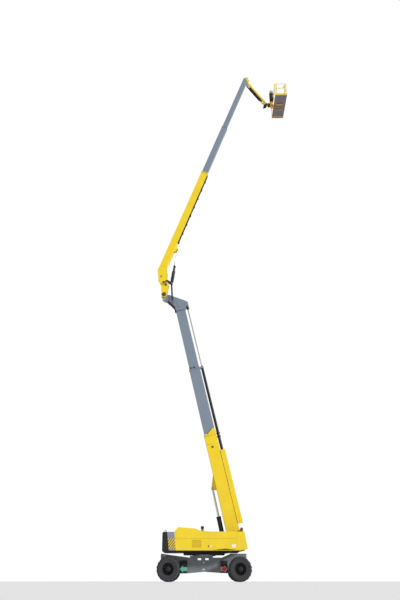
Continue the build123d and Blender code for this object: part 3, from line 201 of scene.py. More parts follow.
class Shape:
    """A mesh made with bmesh operators, in metres, on a member's axes or else the frame's own."""

    def __init__(self, member=None):
        self.bm = bmesh.new()
        self.matrix = member.matrix if member else Matrix.Identity(4)

    def block(self, low, high, bevel=0.0, segments=2):
        """A block between two opposite corners, with its edges rounded by bevel."""
        low, high = (Vector(map(pick, low, high)) for pick in (min, max))
        size = Matrix.Diagonal((*(high - low), 1))
        made = bmesh.ops.create_cube(self.bm, matrix=Matrix.Translation((low + high) / 2) @ size)
        if bevel:
            self.round(made["verts"], bevel, segments)
        return self

    def round(self, verts, offset, segments):
        """Bevels the edges between the vertices."""
        chosen = set(verts)
        edges = {e for v in verts for e in v.link_edges if chosen.issuperset(e.verts)}
        bmesh.ops.bevel(
            self.bm, geom=list(edges), offset=offset, segments=segments, profile=0.5,
            affect="EDGES", material=-1
        )

    def rod(self, start, end, radius, tip=None, segments=16, bevel=0.0):
        """A round bar from start to end, or a cone where tip differs from radius."""
        start, end = Vector(start), Vector(end)
        line = end - start
        turn = line.to_track_quat("Z", "Y").to_matrix().to_4x4()
        made = bmesh.ops.create_cone(
            self.bm, cap_ends=True, segments=segments, radius1=radius,
            radius2=radius if tip is None else tip, depth=line.length,
            matrix=Matrix.Translation((start + end) / 2) @ turn
        )
        if bevel:
            rims = {e for v in made["verts"] for e in v.link_edges if len(e.link_faces) == 2}
            sharp = [e for e in rims if e.calc_face_angle(0) > 1]
            bmesh.ops.bevel(
                self.bm, geom=sharp, offset=bevel, segments=2, profile=0.5, affect="EDGES",
                material=-1
            )
        return self

    def ball(self, centre, radius, flatten=1.0):
        size = Matrix.Diagonal((radius, radius, radius * flatten, 1))
        bmesh.ops.create_uvsphere(
            self.bm, u_segments=20, v_segments=12, radius=1,
            matrix=Matrix.Translation(centre) @ size
        )
        return self

    def turned(self, section, centre, axis, segments=48):
        """A solid of revolution from (outward, radius) points about an axis through centre."""
        centre, axis = Vector(centre), Vector(axis).normalized()
        side = axis.orthogonal().normalized()
        verts = [self.bm.verts.new(centre + axis * out + side * radius) for out, radius in section]
        edges = [self.bm.edges.new(pair) for pair in zip(verts, verts[1:])]
        bmesh.ops.spin(
            self.bm, geom=verts + edges, cent=centre, axis=axis, angle=2 * pi, steps=segments,
            use_merge=True
        )
        bmesh.ops.remove_doubles(self.bm, verts=self.bm.verts, dist=1e-5)
        return self

    def ring(self, section, *places, segments=48):
        """A ring turned from a closed section."""
        return self.turned([*section, section[0]], *places, segments=segments)

    def pipe(self, points, radius, segments=10):
        """A bent pipe through the points, swept with a ring that turns with the line."""
        points = [Vector(p) for p in points]
        rings = []
        side = (points[1] - points[0]).orthogonal()
        for i, point in enumerate(points):
            before = points[max(i - 1, 0)]
            after = points[min(i + 1, len(points) - 1)]
            line = (after - before).normalized()
            side = (side - line * side.dot(line)).normalized()
            turn = Matrix((side, line.cross(side), line)).transposed().to_4x4()
            ring = bmesh.ops.create_circle(
                self.bm, cap_ends=i in (0, len(points) - 1), segments=segments, radius=radius,
                matrix=Matrix.Translation(point) @ turn
            )
            rings.append(ring["verts"])
        for first, second in zip(rings, rings[1:]):
            ends = [e for ring in (first, second) for v in ring for e in v.link_edges]
            loop = {e for e in ends if all(v in first or v in second for v in e.verts)}
            flat = [e for e in loop if len({v in first for v in e.verts}) == 1]
            bmesh.ops.bridge_loops(self.bm, edges=flat)
        return self

    def plate(self, points, near, far):
        """A flat plate with an outline of (X, Z) points, from near to far across the machine."""
        verts = [self.bm.verts.new((x, near, z)) for x, z in points]
        face = self.bm.faces.new(verts)
        made = bmesh.ops.extrude_face_region(self.bm, geom=[face])["geom"]
        moved = [v for v in made if isinstance(v, bmesh.types.BMVert)]
        bmesh.ops.translate(self.bm, verts=moved, vec=(0, far - near, 0))
        return self

    def bolts(self, points, out, radius=0.014, height=0.012):
        """Hexagon heads at the points, standing out along out."""
        out = Vector(out)
        for point in points:
            base = Vector(point)
            self.rod(base - out * 0.004, base + out * height, radius, segments=6)
        return self

    def pin_heads(self, point, across, radius, thickness=0.02):
        """Both ends of a pin across the machine, each with its keeper bar and two bolts."""
        bar = Vector((radius * 1.5, 0, radius * 0.3))
        for side in SIDES:
            out = Vector((0, side, 0))
            base = Vector(point) + out * across
            top = out * (thickness + 0.012)
            self.rod(base, base + out * thickness, radius, segments=32, bevel=0.003)
            self.block(base - bar + out * thickness, base + bar + top, bevel=0.002)
            ends = [base + Vector((way * radius * 1.2, 0, 0)) + top for way in SIDES]
            self.bolts(ends, out, radius=radius * 0.16, height=0.01)
        return self

    def side_bolts(self, spots, across, radius, height):
        """Bolts at the (X, Z) spots on both sides, standing out across the machine."""
        for side in SIDES:
            self.bolts([(x, side * across, z) for x, z in spots], (0, side, 0), radius, height)
        return self

    def side_blocks(self, low, high, bevel=0.0):
        """A block and its mirror image across the machine."""
        for side in SIDES:
            self.block(*((x, side * y, z) for x, y, z in (low, high)), bevel=bevel)
        return self

    def repeat(self, places):
        """Copies what is made so far to each place, given as a matrix, and drops the original."""
        original = list(self.bm.verts) + list(self.bm.edges) + list(self.bm.faces)
        for place in places:
            copy = bmesh.ops.duplicate(self.bm, geom=original)
            verts = [v for v in copy["geom"] if isinstance(v, bmesh.types.BMVert)]
            bmesh.ops.transform(self.bm, matrix=place, verts=verts)
        bmesh.ops.delete(self.bm, geom=[v for v in original if isinstance(v, bmesh.types.BMVert)])
        return self

    def piece(self, name, body, slot, finish=None, smooth=True):
        """Makes a piece that rides on a body. Its finish has the slot's name by default."""
        bmesh.ops.transform(self.bm, matrix=self.matrix, verts=self.bm.verts)
        bmesh.ops.recalc_face_normals(self.bm, faces=self.bm.faces)
        mesh = bpy.data.meshes.new(name)
        self.bm.to_mesh(mesh)
        self.bm.free()
        if smooth:
            mesh.shade_smooth()
            mesh.set_sharp_from_angle(angle=radians(35))
        mesh.materials.append(material(finish or slot))
        made = bpy.data.objects.new(name, mesh)
        bpy.context.collection.objects.link(made)
        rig.ride(made, body)
        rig.slot(made, slot)
        return made


def around(count, centre, axis, start=0.0):
    """The turns that spread count copies evenly about an axis through centre."""
    centre = Vector(centre)
    shift = Matrix.Translation(centre)
    places = []
    for i in range(count):
        turn = Matrix.Rotation(start + 2 * pi * i / count, 4, Vector(axis))
        places.append(shift @ turn @ shift.inverted())
    return places


# Shader maths


class Value:
    """A number in a material's node tree, to be used in ordinary expressions."""

    def __init__(self, tree, socket):
        self.tree = tree
        self.socket = socket

    def math(self, operation, *others):
        node = self.tree.nodes.new("ShaderNodeMath")
        node.operation = operation
        for slot, value in zip(node.inputs, (self, *others)):
            if isinstance(value, Value):
                self.tree.links.new(value.socket, slot)
            else:
                slot.default_value = value
        return Value(self.tree, node.outputs[0])

    def flipped(self, operation, other):
        """The same sum with the plain number first."""
        node = self.tree.nodes.new("ShaderNodeMath")
        node.operation = operation
        node.inputs[0].default_value = other
        self.tree.links.new(self.socket, node.inputs[1])
        return Value(self.tree, node.outputs[0])

    def __rsub__(self, other):
        return self.flipped("SUBTRACT", other)

    def __abs__(self):
        return self.math("ABSOLUTE")


def sum_method(operation):
    return lambda self, other: self.math(operation, other)


for method, operation in {
    "__add__": "ADD", "__radd__": "ADD", "__sub__": "SUBTRACT", "__mul__": "MULTIPLY",
    "__rmul__": "MULTIPLY", "__truediv__": "DIVIDE", "__gt__": "GREATER_THAN",
    "__lt__": "LESS_THAN", "__mod__": "FLOORED_MODULO"
}.items():
    setattr(Value, method, sum_method(operation))


class Finish:
    """A material under construction, on Object coordinates."""

    def __init__(self, name, color, roughness=0.5, **shader):
        self.material = bpy.data.materials.new(name)
        self.material.use_nodes = True
        self.material.diffuse_color = (*color, 1)
        self.tree = self.material.node_tree
        self.shader = self.tree.nodes["Principled BSDF"]
        self.color = self.constant(color)
        self.set(base_color=color, roughness=roughness, **shader)
        self.place = self.add("ShaderNodeTexCoord", output="Object")
        split = self.add("ShaderNodeSeparateXYZ", whole=True, Vector=self.place)
        self.x, self.y, self.z = (Value(self.tree, split.outputs[i]) for i in range(3))

    def add(self, kind, settings=None, output=0, whole=False, **inputs):
        """A node with its settings made first, then its sockets' values or links."""
        node = self.tree.nodes.new(kind)
        for name, value in (settings or {}).items():
            setattr(node, name, value)
        for name, value in inputs.items():
            socket = node.inputs[name.replace("_", " ")]
            if isinstance(value, Value):
                self.tree.links.new(value.socket, socket)
            else:
                socket.default_value = value
        return node if whole else Value(self.tree, node.outputs[output])

    def constant(self, color):
        return (*color, 1) if len(color) == 3 else color

    def set(self, **inputs):
        """Sets or links the main shader's sockets."""
        for name, value in inputs.items():
            socket = self.shader.inputs[name.replace("_", " ").title().replace("Ior", "IOR")]
            if isinstance(value, Value):
                self.tree.links.new(value.socket, socket)
            elif socket.type == "RGBA":
                socket.default_value = self.constant(value)
            else:
                socket.default_value = value
        return self

    def noise(self, scale, detail=3.0, roughness=0.5, stretch=(1, 1, 1), distortion=0.0):
        """Soft noise from 0 to 1, stretched by a Mapping node."""
        place = self.add("ShaderNodeMapping", Vector=self.place, Scale=stretch)
        return self.add(
            "ShaderNodeTexNoise", output="Fac", Vector=place, Scale=scale, Detail=detail,
            Roughness=roughness, Distortion=distortion
        )

    def ramp(self, value, low, high):
        """The value spread from 0 at low to 1 at high, and held past them."""
        return self.add(
            "ShaderNodeMapRange", {"clamp": True}, output="Result", Value=value, From_Min=low,
            From_Max=high
        )

    def mix(self, factor, first, second):
        """A colour between two others."""
        node = self.tree.nodes.new("ShaderNodeMix")
        node.data_type = "RGBA"
        for index, value in ((0, factor), (6, first), (7, second)):
            socket = node.inputs[index]
            if isinstance(value, Value):
                self.tree.links.new(value.socket, socket)
            else:
                socket.default_value = self.constant(value) if index else value
        return Value(self.tree, node.outputs[2])

    def bump(self, height, strength=0.2, distance=0.002):
        """Raises the surface by the height."""
        normal = self.add(
            "ShaderNodeBump", output="Normal", Height=height, Strength=strength, Distance=distance
        )
        self.set(normal=normal)
        return self


# Finishes


def srgb(red, green, blue):
    """A colour from its 0 to 255 values, as linear numbers."""
    parts = [c / 255 for c in (red, green, blue)]
    return tuple(c / 12.92 if c <= 0.04 else ((c + 0.055) / 1.055) ** 2.4 for c in parts)


ROAD_DUST = srgb(158, 150, 138)
PRIMER = srgb(96, 84, 70)


def paint(name, color, roughness=0.32, dust=0.25, coat=0.3, marks=None):
    """Sprayed machine paint: faint clouds and runs, road dust low down, small chips."""
    finish = Finish(name, color, roughness, coat_weight=coat, coat_roughness=0.2)
    cloud = finish.noise(1.1, detail=5, roughness=0.6)
    patchy = finish.ramp(cloud, 0.3, 0.75)
    body = finish.mix(patchy, color, tuple(c * 0.88 for c in color))
    # The marks can add painted shade, as the hoods' hand holes and slot do.
    if marks:
        body = marks(finish, body)
    runs = finish.ramp(finish.noise(9, detail=3, stretch=(1, 1, 0.06)), 0.52, 0.8)
    low = finish.ramp(finish.z, 2.6, 0.2)
    grime = runs * 0.35 + low * finish.ramp(finish.noise(4, 6, 0.7), 0.35, 0.8)
    body = finish.mix(grime * dust, body, ROAD_DUST)
    chips = finish.ramp(finish.noise(34, detail=8, roughness=0.75), 0.735, 0.75)
    finish.set(base_color=finish.mix(chips * 0.6, body, PRIMER))
    finish.set(roughness=grime * 0.3 + patchy * 0.06 + chips * 0.2 + roughness)
    return finish.bump(finish.noise(260, detail=1) - chips * 2, strength=0.05, distance=0.001)


def metal(name, color, roughness, metallic=1.0, grain=(1, 1, 30), strength=0.06):
    """Bare or plated metal with a fine grain."""
    finish = Finish(name, color, roughness, metallic=metallic)
    scratches = finish.noise(22, detail=6, roughness=0.7, stretch=grain)
    finish.set(roughness=scratches * 0.22 + (roughness - 0.08))
    shade = finish.mix(finish.ramp(scratches, 0.35, 0.7), color, tuple(c * 0.8 for c in color))
    finish.set(base_color=shade)
    return finish.bump(scratches, strength=strength, distance=0.001)


def colour(name):
    """A colour that the panel sets."""
    return tuple(getattr(bpy.context.scene.boomlift_colours, name))


def between(value, low, high):
    """1 where the value is from low to high, and 0 elsewhere."""
    return (value > low) * (value < high)


def hood_marks(finish, body):
    """Painted shade in the hand holes, pale blank plates and a painted shadow in the slot along the hoods' lower edge.
    """
    x = finish.x - MACHINE.x
    z = finish.z - MACHINE.z
    outer = abs(finish.y) > HOOD_SIDE - HOOD_SKIN
    # Dark patch over the hand hole: painted shade of its recess.
    handle = between(x, 0.20, 0.255) * between(z, 1.635, 1.72) * outer
    plates = between(x, 1.46, 1.66) * between(z, 1.62, 1.77) + between(x, 0.31, 0.39) * between(
        z, 1.65, 1.71
    )
    # A dark tapering band over the lower edge: a painted shadow in the slot.
    lift = abs(x - 1.12) * -0.11 + 0.075
    slot = (z > SLOT_FOOT) * ((z - SLOT_FOOT) < lift) * outer
    body = finish.mix(plates * outer, body, srgb(236, 230, 222))
    return finish.mix(handle + slot * 0.92, body, srgb(40, 28, 12))


def tail_marks(finish, body):
    """Slanting warning stripes on the outer faces of the tail cabinets."""
    z = finish.z - MACHINE.z
    outer = abs(finish.y) > HOOD_SIDE - HOOD_SKIN
    band = between(z, 1.53, 2.04) * outer
    stripe = ((finish.z * 0.8 - finish.x) % 0.13) > 0.065
    return finish.mix(band, body, finish.mix(stripe, srgb(70, 60, 58), srgb(232, 200, 70)))


PAINTS = {
    "yellow_paint": ("yellow", {}), "boom_grey": ("grey", {"roughness": 0.38, "coat": 0.2}),
    # The hoods' paint carries painted shade in the hand holes and a painted shadow in the slot.
    "hood_paint": ("yellow", {"roughness": 0.28, "marks": hood_marks}),
    "tail_grey": (srgb(128, 134, 148), {"roughness": 0.4, "coat": 0.2, "marks": tail_marks}),
    "chassis_grey": (srgb(108, 116, 124), {"roughness": 0.45, "dust": 0.4, "coat": 0.1}),
    # Black paint; on the side lockers and their doors it is also painted shade on the chassis sides.
    "black_paint": (srgb(9, 9, 13), {"roughness": 0.6, "dust": 0.05, "coat": 0}),
    "rim_black": (srgb(9, 9, 13), {"roughness": 0.6, "dust": 0.08, "coat": 0}),
    "amber_paint": (srgb(222, 158, 30), {"roughness": 0.4}),
    "green_mark": (srgb(88, 186, 160), {"roughness": 0.5, "dust": 0.3, "coat": 0}),
    "red_mark": (srgb(222, 46, 58), {"roughness": 0.5, "dust": 0.2, "coat": 0}),
    "blank_plate": (srgb(232, 232, 230), {"roughness": 0.4, "dust": 0.2, "coat": 0}),
    "grille_yellow": (srgb(238, 208, 52), {"roughness": 0.6, "dust": 0.3, "coat": 0}),
    "tan_board": (srgb(176, 148, 120), {"roughness": 0.8, "dust": 0.5, "coat": 0}),
    "panel_grey": (srgb(142, 150, 136), {"roughness": 0.5, "dust": 0.2, "coat": 0})
}


def tyre_rubber():
    """Worn rubber, greyer in dusty patches."""
    finish = Finish("tyre_rubber", srgb(52, 50, 55), 0.85)
    cloud = finish.noise(7, detail=6, roughness=0.65)
    dusty = finish.ramp(cloud, 0.5, 0.85) * 0.35
    finish.set(base_color=finish.mix(dusty, srgb(48, 46, 51), srgb(88, 84, 82)))
    finish.set(roughness=cloud * 0.2 + 0.75)
    return finish.bump(finish.noise(120, detail=4), strength=0.25, distance=0.002).material


def hose_rubber():
    """Black hose with the fine weave of its cover."""
    finish = Finish("hose_rubber", srgb(24, 24, 27), 0.6)
    weave = finish.noise(300, detail=2, stretch=(1, 1, 0.4))
    finish.set(roughness=weave * 0.25 + 0.45)
    finish.set(base_color=finish.mix(weave, srgb(20, 20, 23), srgb(40, 40, 44)))
    return finish.bump(weave, strength=0.2, distance=0.001).material


def chromed_rod():
    return metal("chromed_rod", srgb(226, 228, 232), 0.16, strength=0.02).material


def bare_steel():
    return metal("bare_steel", srgb(168, 166, 164), 0.42).material


def zinc_mesh():
    """Galvanised steel with its spangle."""
    finish = Finish("zinc_mesh", srgb(140, 132, 128), 0.5, metallic=0.4)
    cell = finish.add("ShaderNodeTexVoronoi", output="Color", Vector=finish.place, Scale=60.0)
    grey = finish.add("ShaderNodeRGBToBW", Color=cell)
    finish.set(base_color=finish.mix(grey, srgb(118, 110, 110), srgb(160, 150, 142)))
    finish.set(roughness=grey * 0.25 + 0.35)
    return finish.material


def expanded_floor():
    """Expanded sheet: rows of diamond openings in grey brown metal, with the openings painted dark as painted shade.
    """
    finish = Finish("expanded_floor", srgb(112, 104, 108), 0.6, metallic=0.2)
    row = (finish.y * (pi / 0.055)).math("SINE")
    line = (finish.x * (pi / 0.028)).math("SINE")
    hole = finish.ramp(abs(row * line), 0.25, 0.45)
    # The openings take a dark colour: painted shade where the voids are.
    finish.set(base_color=finish.mix(hole, srgb(158, 152, 164), srgb(64, 58, 70)))
    return finish.bump(1 - hole, strength=0.4, distance=0.003).material


def cast_iron():
    finish = Finish("cast_iron", srgb(60, 60, 64), 0.7, metallic=0.5)
    grit = finish.noise(80, detail=6, roughness=0.7)
    finish.set(base_color=finish.mix(grit, srgb(48, 48, 52), srgb(84, 80, 76)))
    return finish.bump(grit, strength=0.3, distance=0.002).material


def bronze_boss():
    return metal("bronze_boss", srgb(140, 98, 52), 0.45, grain=(6, 6, 6)).material


def amber_lens():
    """A ribbed translucent lens."""
    finish = Finish("amber_lens", srgb(226, 92, 22), 0.25, transmission_weight=0.2, coat_weight=0.5)
    ribs = (finish.z * 260).math("SINE")
    finish.set(roughness=ribs * 0.04 + 0.24)
    return finish.bump(ribs, strength=0.3, distance=0.002).material


def lamp_glass():
    finish = Finish("lamp_glass", srgb(222, 226, 230), 0.12, coat_weight=0.6)
    ribs = (finish.y * 300).math("SINE")
    finish.set(roughness=ribs * 0.04 + 0.14)
    return finish.bump(ribs, strength=0.2, distance=0.002).material


def red_knob():
    finish = Finish("red_knob", srgb(196, 22, 24), 0.35, coat_weight=0.4)
    grain = finish.noise(90, detail=2)
    finish.set(roughness=grain * 0.15 + 0.28)
    return finish.material


def black_plastic():
    finish = Finish("black_plastic", srgb(14, 14, 17), 0.65)
    grain = finish.noise(180, detail=2)
    finish.set(roughness=grain * 0.2 + 0.5)
    finish.set(base_color=finish.mix(grain, srgb(24, 24, 27), srgb(38, 38, 42)))
    return finish.bump(grain, strength=0.15, distance=0.001).material


FINISHES = {}


def material(name):
    """The finish of that name, made the first time it is asked for."""
    if name not in FINISHES:
        if name in PAINTS:
            color, settings = PAINTS[name]
            color = colour(color) if isinstance(color, str) else color
            FINISHES[name] = paint(name, color, **settings).material
        else:
            FINISHES[name] = globals()[name]()
    return FINISHES[name]


HOOD_SIDE = corner("hood_left", 1).y
NODE_FINISHES = {
    "hood_paint": ["hood_left", "hood_right", "lid_left", "lid_right"],
    "tail_grey": ["tail_cabinets"], "amber_paint": ["level_bracket", "basket_mount"],
    "yellow_paint": [
        "lower_boom_base", "upper_boom_base", "jib_boom", "rail_rear", "rail_front", "rail_left",
        "rail_right", "gate"
    ],
    "boom_grey": [
        "lower_boom_mid", "lower_boom_inner", "elbow_knuckle", "upper_boom_mid", "upper_boom_inner"
    ],
    "chassis_grey": ["chassis_frame", "axle_front", "axle_rear"],
    # The side lockers are black partly as painted shade on the chassis sides; the other parts here are black paint.
    "black_paint": [
        "turntable_frame", "counterweight", "side_lockers", "feed_barrel", "lower_lift_barrel",
        "upper_lift_barrel", "jib_lift_barrel", "rocker_link", "tie_link", "upper_tray", "air_stack"
    ],
    "chromed_rod": ["feed_rod", "lower_lift_rod", "upper_lift_rod", "jib_lift_rod"],
    "bare_steel": ["slew_ring"], "zinc_mesh": ["basket_floor"], "cast_iron": ["engine_block"],
    "amber_lens": ["beacon"], "black_plastic": ["control_console"],
    "tyre_rubber": [f"tyre_{name}" for name, out in WHEELS],
    "rim_black": [f"{part}_{name}" for part in ("rim", "knuckle") for name, out in WHEELS]
}


class BOOMLIFT_OT_paint(bpy.types.Operator):
    """Gives each piece of the frame its finish"""

    bl_idname = "boomlift.paint"
    bl_label = "Paint the frame"

    def execute(self, context):
        for finish, nodes in NODE_FINISHES.items():
            for node in nodes:
                mesh = frame["nodes"][node].data
                mesh.materials.clear()
                mesh.materials.append(material(finish))
        return {"FINISHED"}


class BOOMLIFT_OT_wheels(bpy.types.Operator):
    """Adds the nuts, hub plates, bead rings, valves and sidewall ribs of the four wheels"""

    bl_idname = "boomlift.wheels"
    bl_label = "Wheels"

    def execute(self, context):
        trim = context.scene.boomlift_trim
        for name, out in WHEELS:
            centre = joint_at("spin_" + name)
            axis = Vector((0, out, 0))
            body = "wheel_" + name
            self.nuts(trim, name, body, centre, axis)
            self.hub(name, body, centre, axis)
            self.bead(name, body, centre, axis)
            self.ribs(name, body, centre, axis)
        return {"FINISHED"}

    def nuts(self, trim, name, body, centre, axis):
        shape = Shape()
        start = centre + axis * WHEEL_FACE + Vector((0, 0, trim.nut_circle))
        shape.rod(start, start + axis * 0.010, 0.028, segments=20)
        shape.rod(start, start + axis * 0.034, 0.020, segments=6, bevel=0.002)
        shape.rod(start, start + axis * 0.052, 0.011, segments=12, bevel=0.002)
        shape.repeat(around(trim.wheel_nuts, centre, axis))
        shape.piece("nuts_" + name, body, "steel", "cast_iron")

    def hub(self, name, body, centre, axis):
        """The hub's end plate with its bolts and plug."""
        face = centre + axis * 0.148
        shape = Shape()
        bolt = face + Vector((0, 0, 0.068))
        shape.rod(bolt, bolt + axis * 0.016, 0.010, segments=6)
        shape.repeat(around(8, centre, axis))
        shape.rod(face, face + axis * 0.006, 0.086, segments=40, bevel=0.002)
        shape.rod(face, face + axis * 0.018, 0.024, segments=6, bevel=0.002)
        shape.rod(face, face + axis * 0.012, 0.042, segments=32, bevel=0.003)
        shape.piece("hub_" + name, body, "black_paint", "rim_black")

    def bead(self, name, body, centre, axis):
        """The rim's outer ring, its stiffening ribs and the tyre's valve."""
        section = [(0.186, 0.285), (0.199, 0.289), (0.203, 0.297), (0.200, 0.308), (0.188, 0.309)]
        shape = Shape()
        start = centre + axis * WHEEL_FACE + Vector((-0.012, 0, 0.145))
        shape.block(start, start + axis * 0.045 + Vector((0.024, 0, 0.14)), bevel=0.004)
        shape.repeat(around(10, centre, axis, start=pi / 10))
        shape.ring(section, centre, axis, segments=64)
        shape.piece("bead_" + name, body, "black_paint", "rim_black")
        valve = centre + axis * WHEEL_FACE + Vector((0.262, 0, 0.03))
        stem = Shape()
        stem.pipe([valve, valve + axis * 0.03, valve + axis * 0.05 + Vector((-0.02, 0, 0))], 0.007)
        stem.piece("valve_" + name, body, "steel", "bronze_boss")

    def ribs(self, name, body, centre, axis):
        """Raised rings on the tyre's outer wall."""
        shape = Shape()
        for radius, wall in ((0.335, 0.1975), (0.385, 0.2035), (0.455, 0.2125)):
            section = [
                (wall - 0.004, radius), (wall + 0.0045, radius + 0.004),
                (wall + 0.0055, radius + 0.014), (wall - 0.002, radius + 0.020)
            ]
            shape.ring(section, centre, axis, segments=72)
        shape.piece("ribs_" + name, body, "tyre_rubber")


class BOOMLIFT_OT_chassis(bpy.types.Operator):
    """Adds the chassis's plates, arrows, bosses, bolts, pipes, locker doors and the ring's teeth"""

    bl_idname = "boomlift.chassis"
    bl_label = "Chassis"

    def execute(self, context):
        bolt = context.scene.boomlift_trim.bolt
        face = corner("chassis_frame", 1).y
        for side, name in NAMED_SIDES:
            self.side(side, name, face, bolt)
        self.arrows()
        teeth = Shape(GROUND)
        teeth.block((0.598, -0.011, 1.256), (0.616, 0.011, 1.290), bevel=0.003)
        teeth.repeat(around(84, (0, 0, 0), (0, 0, 1)))
        teeth.piece("ring_teeth", "base", "steel", "bare_steel", smooth=False)
        pins = Shape(GROUND)
        for end in (-AXLE_PLACE, AXLE_PLACE):
            for side in SIDES:
                for z in (0.760, 0.430):
                    out = (0, 0, 1 if z > 0.6 else -1)
                    top = Vector((end, side * 0.78, z))
                    pins.rod(
                        top - Vector(out) * 0.003, top + Vector(out) * 0.014, 0.045, segments=28,
                        bevel=0.003
                    )
                    ring = [top + Vector((a, b, 0)) for a in (-0.045, 0.045) for b in (-0.03, 0.03)]
                    pins.bolts(ring, out, radius=0.008, height=0.012)
        pins.piece("kingpin_caps", "base", "steel", "bare_steel")
        return {"FINISHED"}

    def side(self, side, name, face, bolt):
        shape = Shape(GROUND)
        near = side * face
        for x, z, width, height in ((-0.035, 0.594, 0.055, 0.024), (-0.035, 0.925, 0.028, 0.030)):
            low = (x - width, near, z - height)
            high = (x + width, near + side * 0.003, z + height)
            shape.block(low, high, bevel=0.001)
        shape.piece("chassis_plates_" + name, "base", "grey_paint", "blank_plate")
        rings = Shape(GROUND)
        for x in (-2.17, 2.12):
            section = [(-0.002, 0.041), (0.010, 0.043), (0.010, 0.062), (-0.002, 0.068)]
            rings.ring(section, (x, near, 1.27), (0, side, 0), segments=32)
        for x in (-AXLE_PLACE, AXLE_PLACE):
            spots = [
                (x + a, near, 0.595 + b) for a in (-0.16, 0.16) for b in (-0.12, -0.04, 0.04, 0.12)
            ]
            rings.bolts(spots, (0, side, 0), radius=bolt, height=0.016)
            for x0 in (x - 0.19, x + 0.13):
                rings.block((x0, near, 0.445), (x0 + 0.06, near + side * 0.008, 0.745))
        rings.piece("chassis_bosses_" + name, "base", "grey_paint", "chassis_grey")
        if side > 0:
            self.brake_pipes(name, near)
        # The locker doors share the lockers' black, which is partly painted shade.
        doors = Shape(GROUND)
        locker = side * corner("side_lockers", 1).y
        for x0, x1 in ((-1.29, -0.90), (0.87, 1.23)):
            low = (x0 + 0.03, locker, 0.80)
            high = (x1 - 0.03, locker + side * 0.008, 0.985)
            doors.block(low, high, bevel=0.003)
            doors.rod(
                (x0 + 0.1, locker, 0.90), (x0 + 0.1, locker + side * 0.02, 0.90), 0.016,
                segments=20, bevel=0.003
            )
        doors.piece("locker_doors_" + name, "base", "black_paint")

    def brake_pipes(self, name, near):
        """Two hard pipes with their clamps along the left side."""
        lines = Shape(GROUND)
        y = near + 0.016
        for z in (0.70, 0.74):
            rise = z + 0.02
            lines.pipe(
                [(-0.86, y, rise), (-0.6, y, z), (0.2, y, z - 0.02), (0.7, y, z), (0.84, y, rise)],
                0.008
            )
        for x in (-0.7, -0.3, 0.1, 0.5):
            lines.block((x, near, 0.66), (x + 0.03, near + 0.026, 0.77), 0.004)
        lines.piece("brake_pipes_" + name, "base", "steel", "bare_steel")

    def arrows(self):
        """Blank direction arrows on the lockers: green to the rear and red to the front."""
        marks = (("green", "green_mark", -1.095, -1, 0.165), ("red", "red_mark", 1.055, 1, 0.150))
        locker = corner("side_lockers", 1).y
        for name, finish, x, way, reach in marks:
            arrow = [
                (x + way * reach, 0.61), (x + way * 0.02, 0.755), (x + way * 0.02, 0.69),
                (x - way * reach, 0.69), (x - way * reach, 0.53), (x + way * 0.02, 0.53),
                (x + way * 0.02, 0.465)
            ]
            shape = Shape(GROUND)
            border = Shape(GROUND)
            for side in SIDES:
                shape.plate(arrow, side * locker, side * (locker + 0.006))
                wider = [(x + (px - x) * 1.18, 0.61 + (pz - 0.61) * 1.2) for px, pz in arrow]
                border.plate(wider, side * (locker - 0.002), side * (locker + 0.003))
            shape.piece("arrow_" + name, "base", "grey_paint", finish, smooth=False)
            edge = "blank_plate" if name == "red" else finish
            border.piece("arrow_border_" + name, "base", "grey_paint", edge, smooth=False)


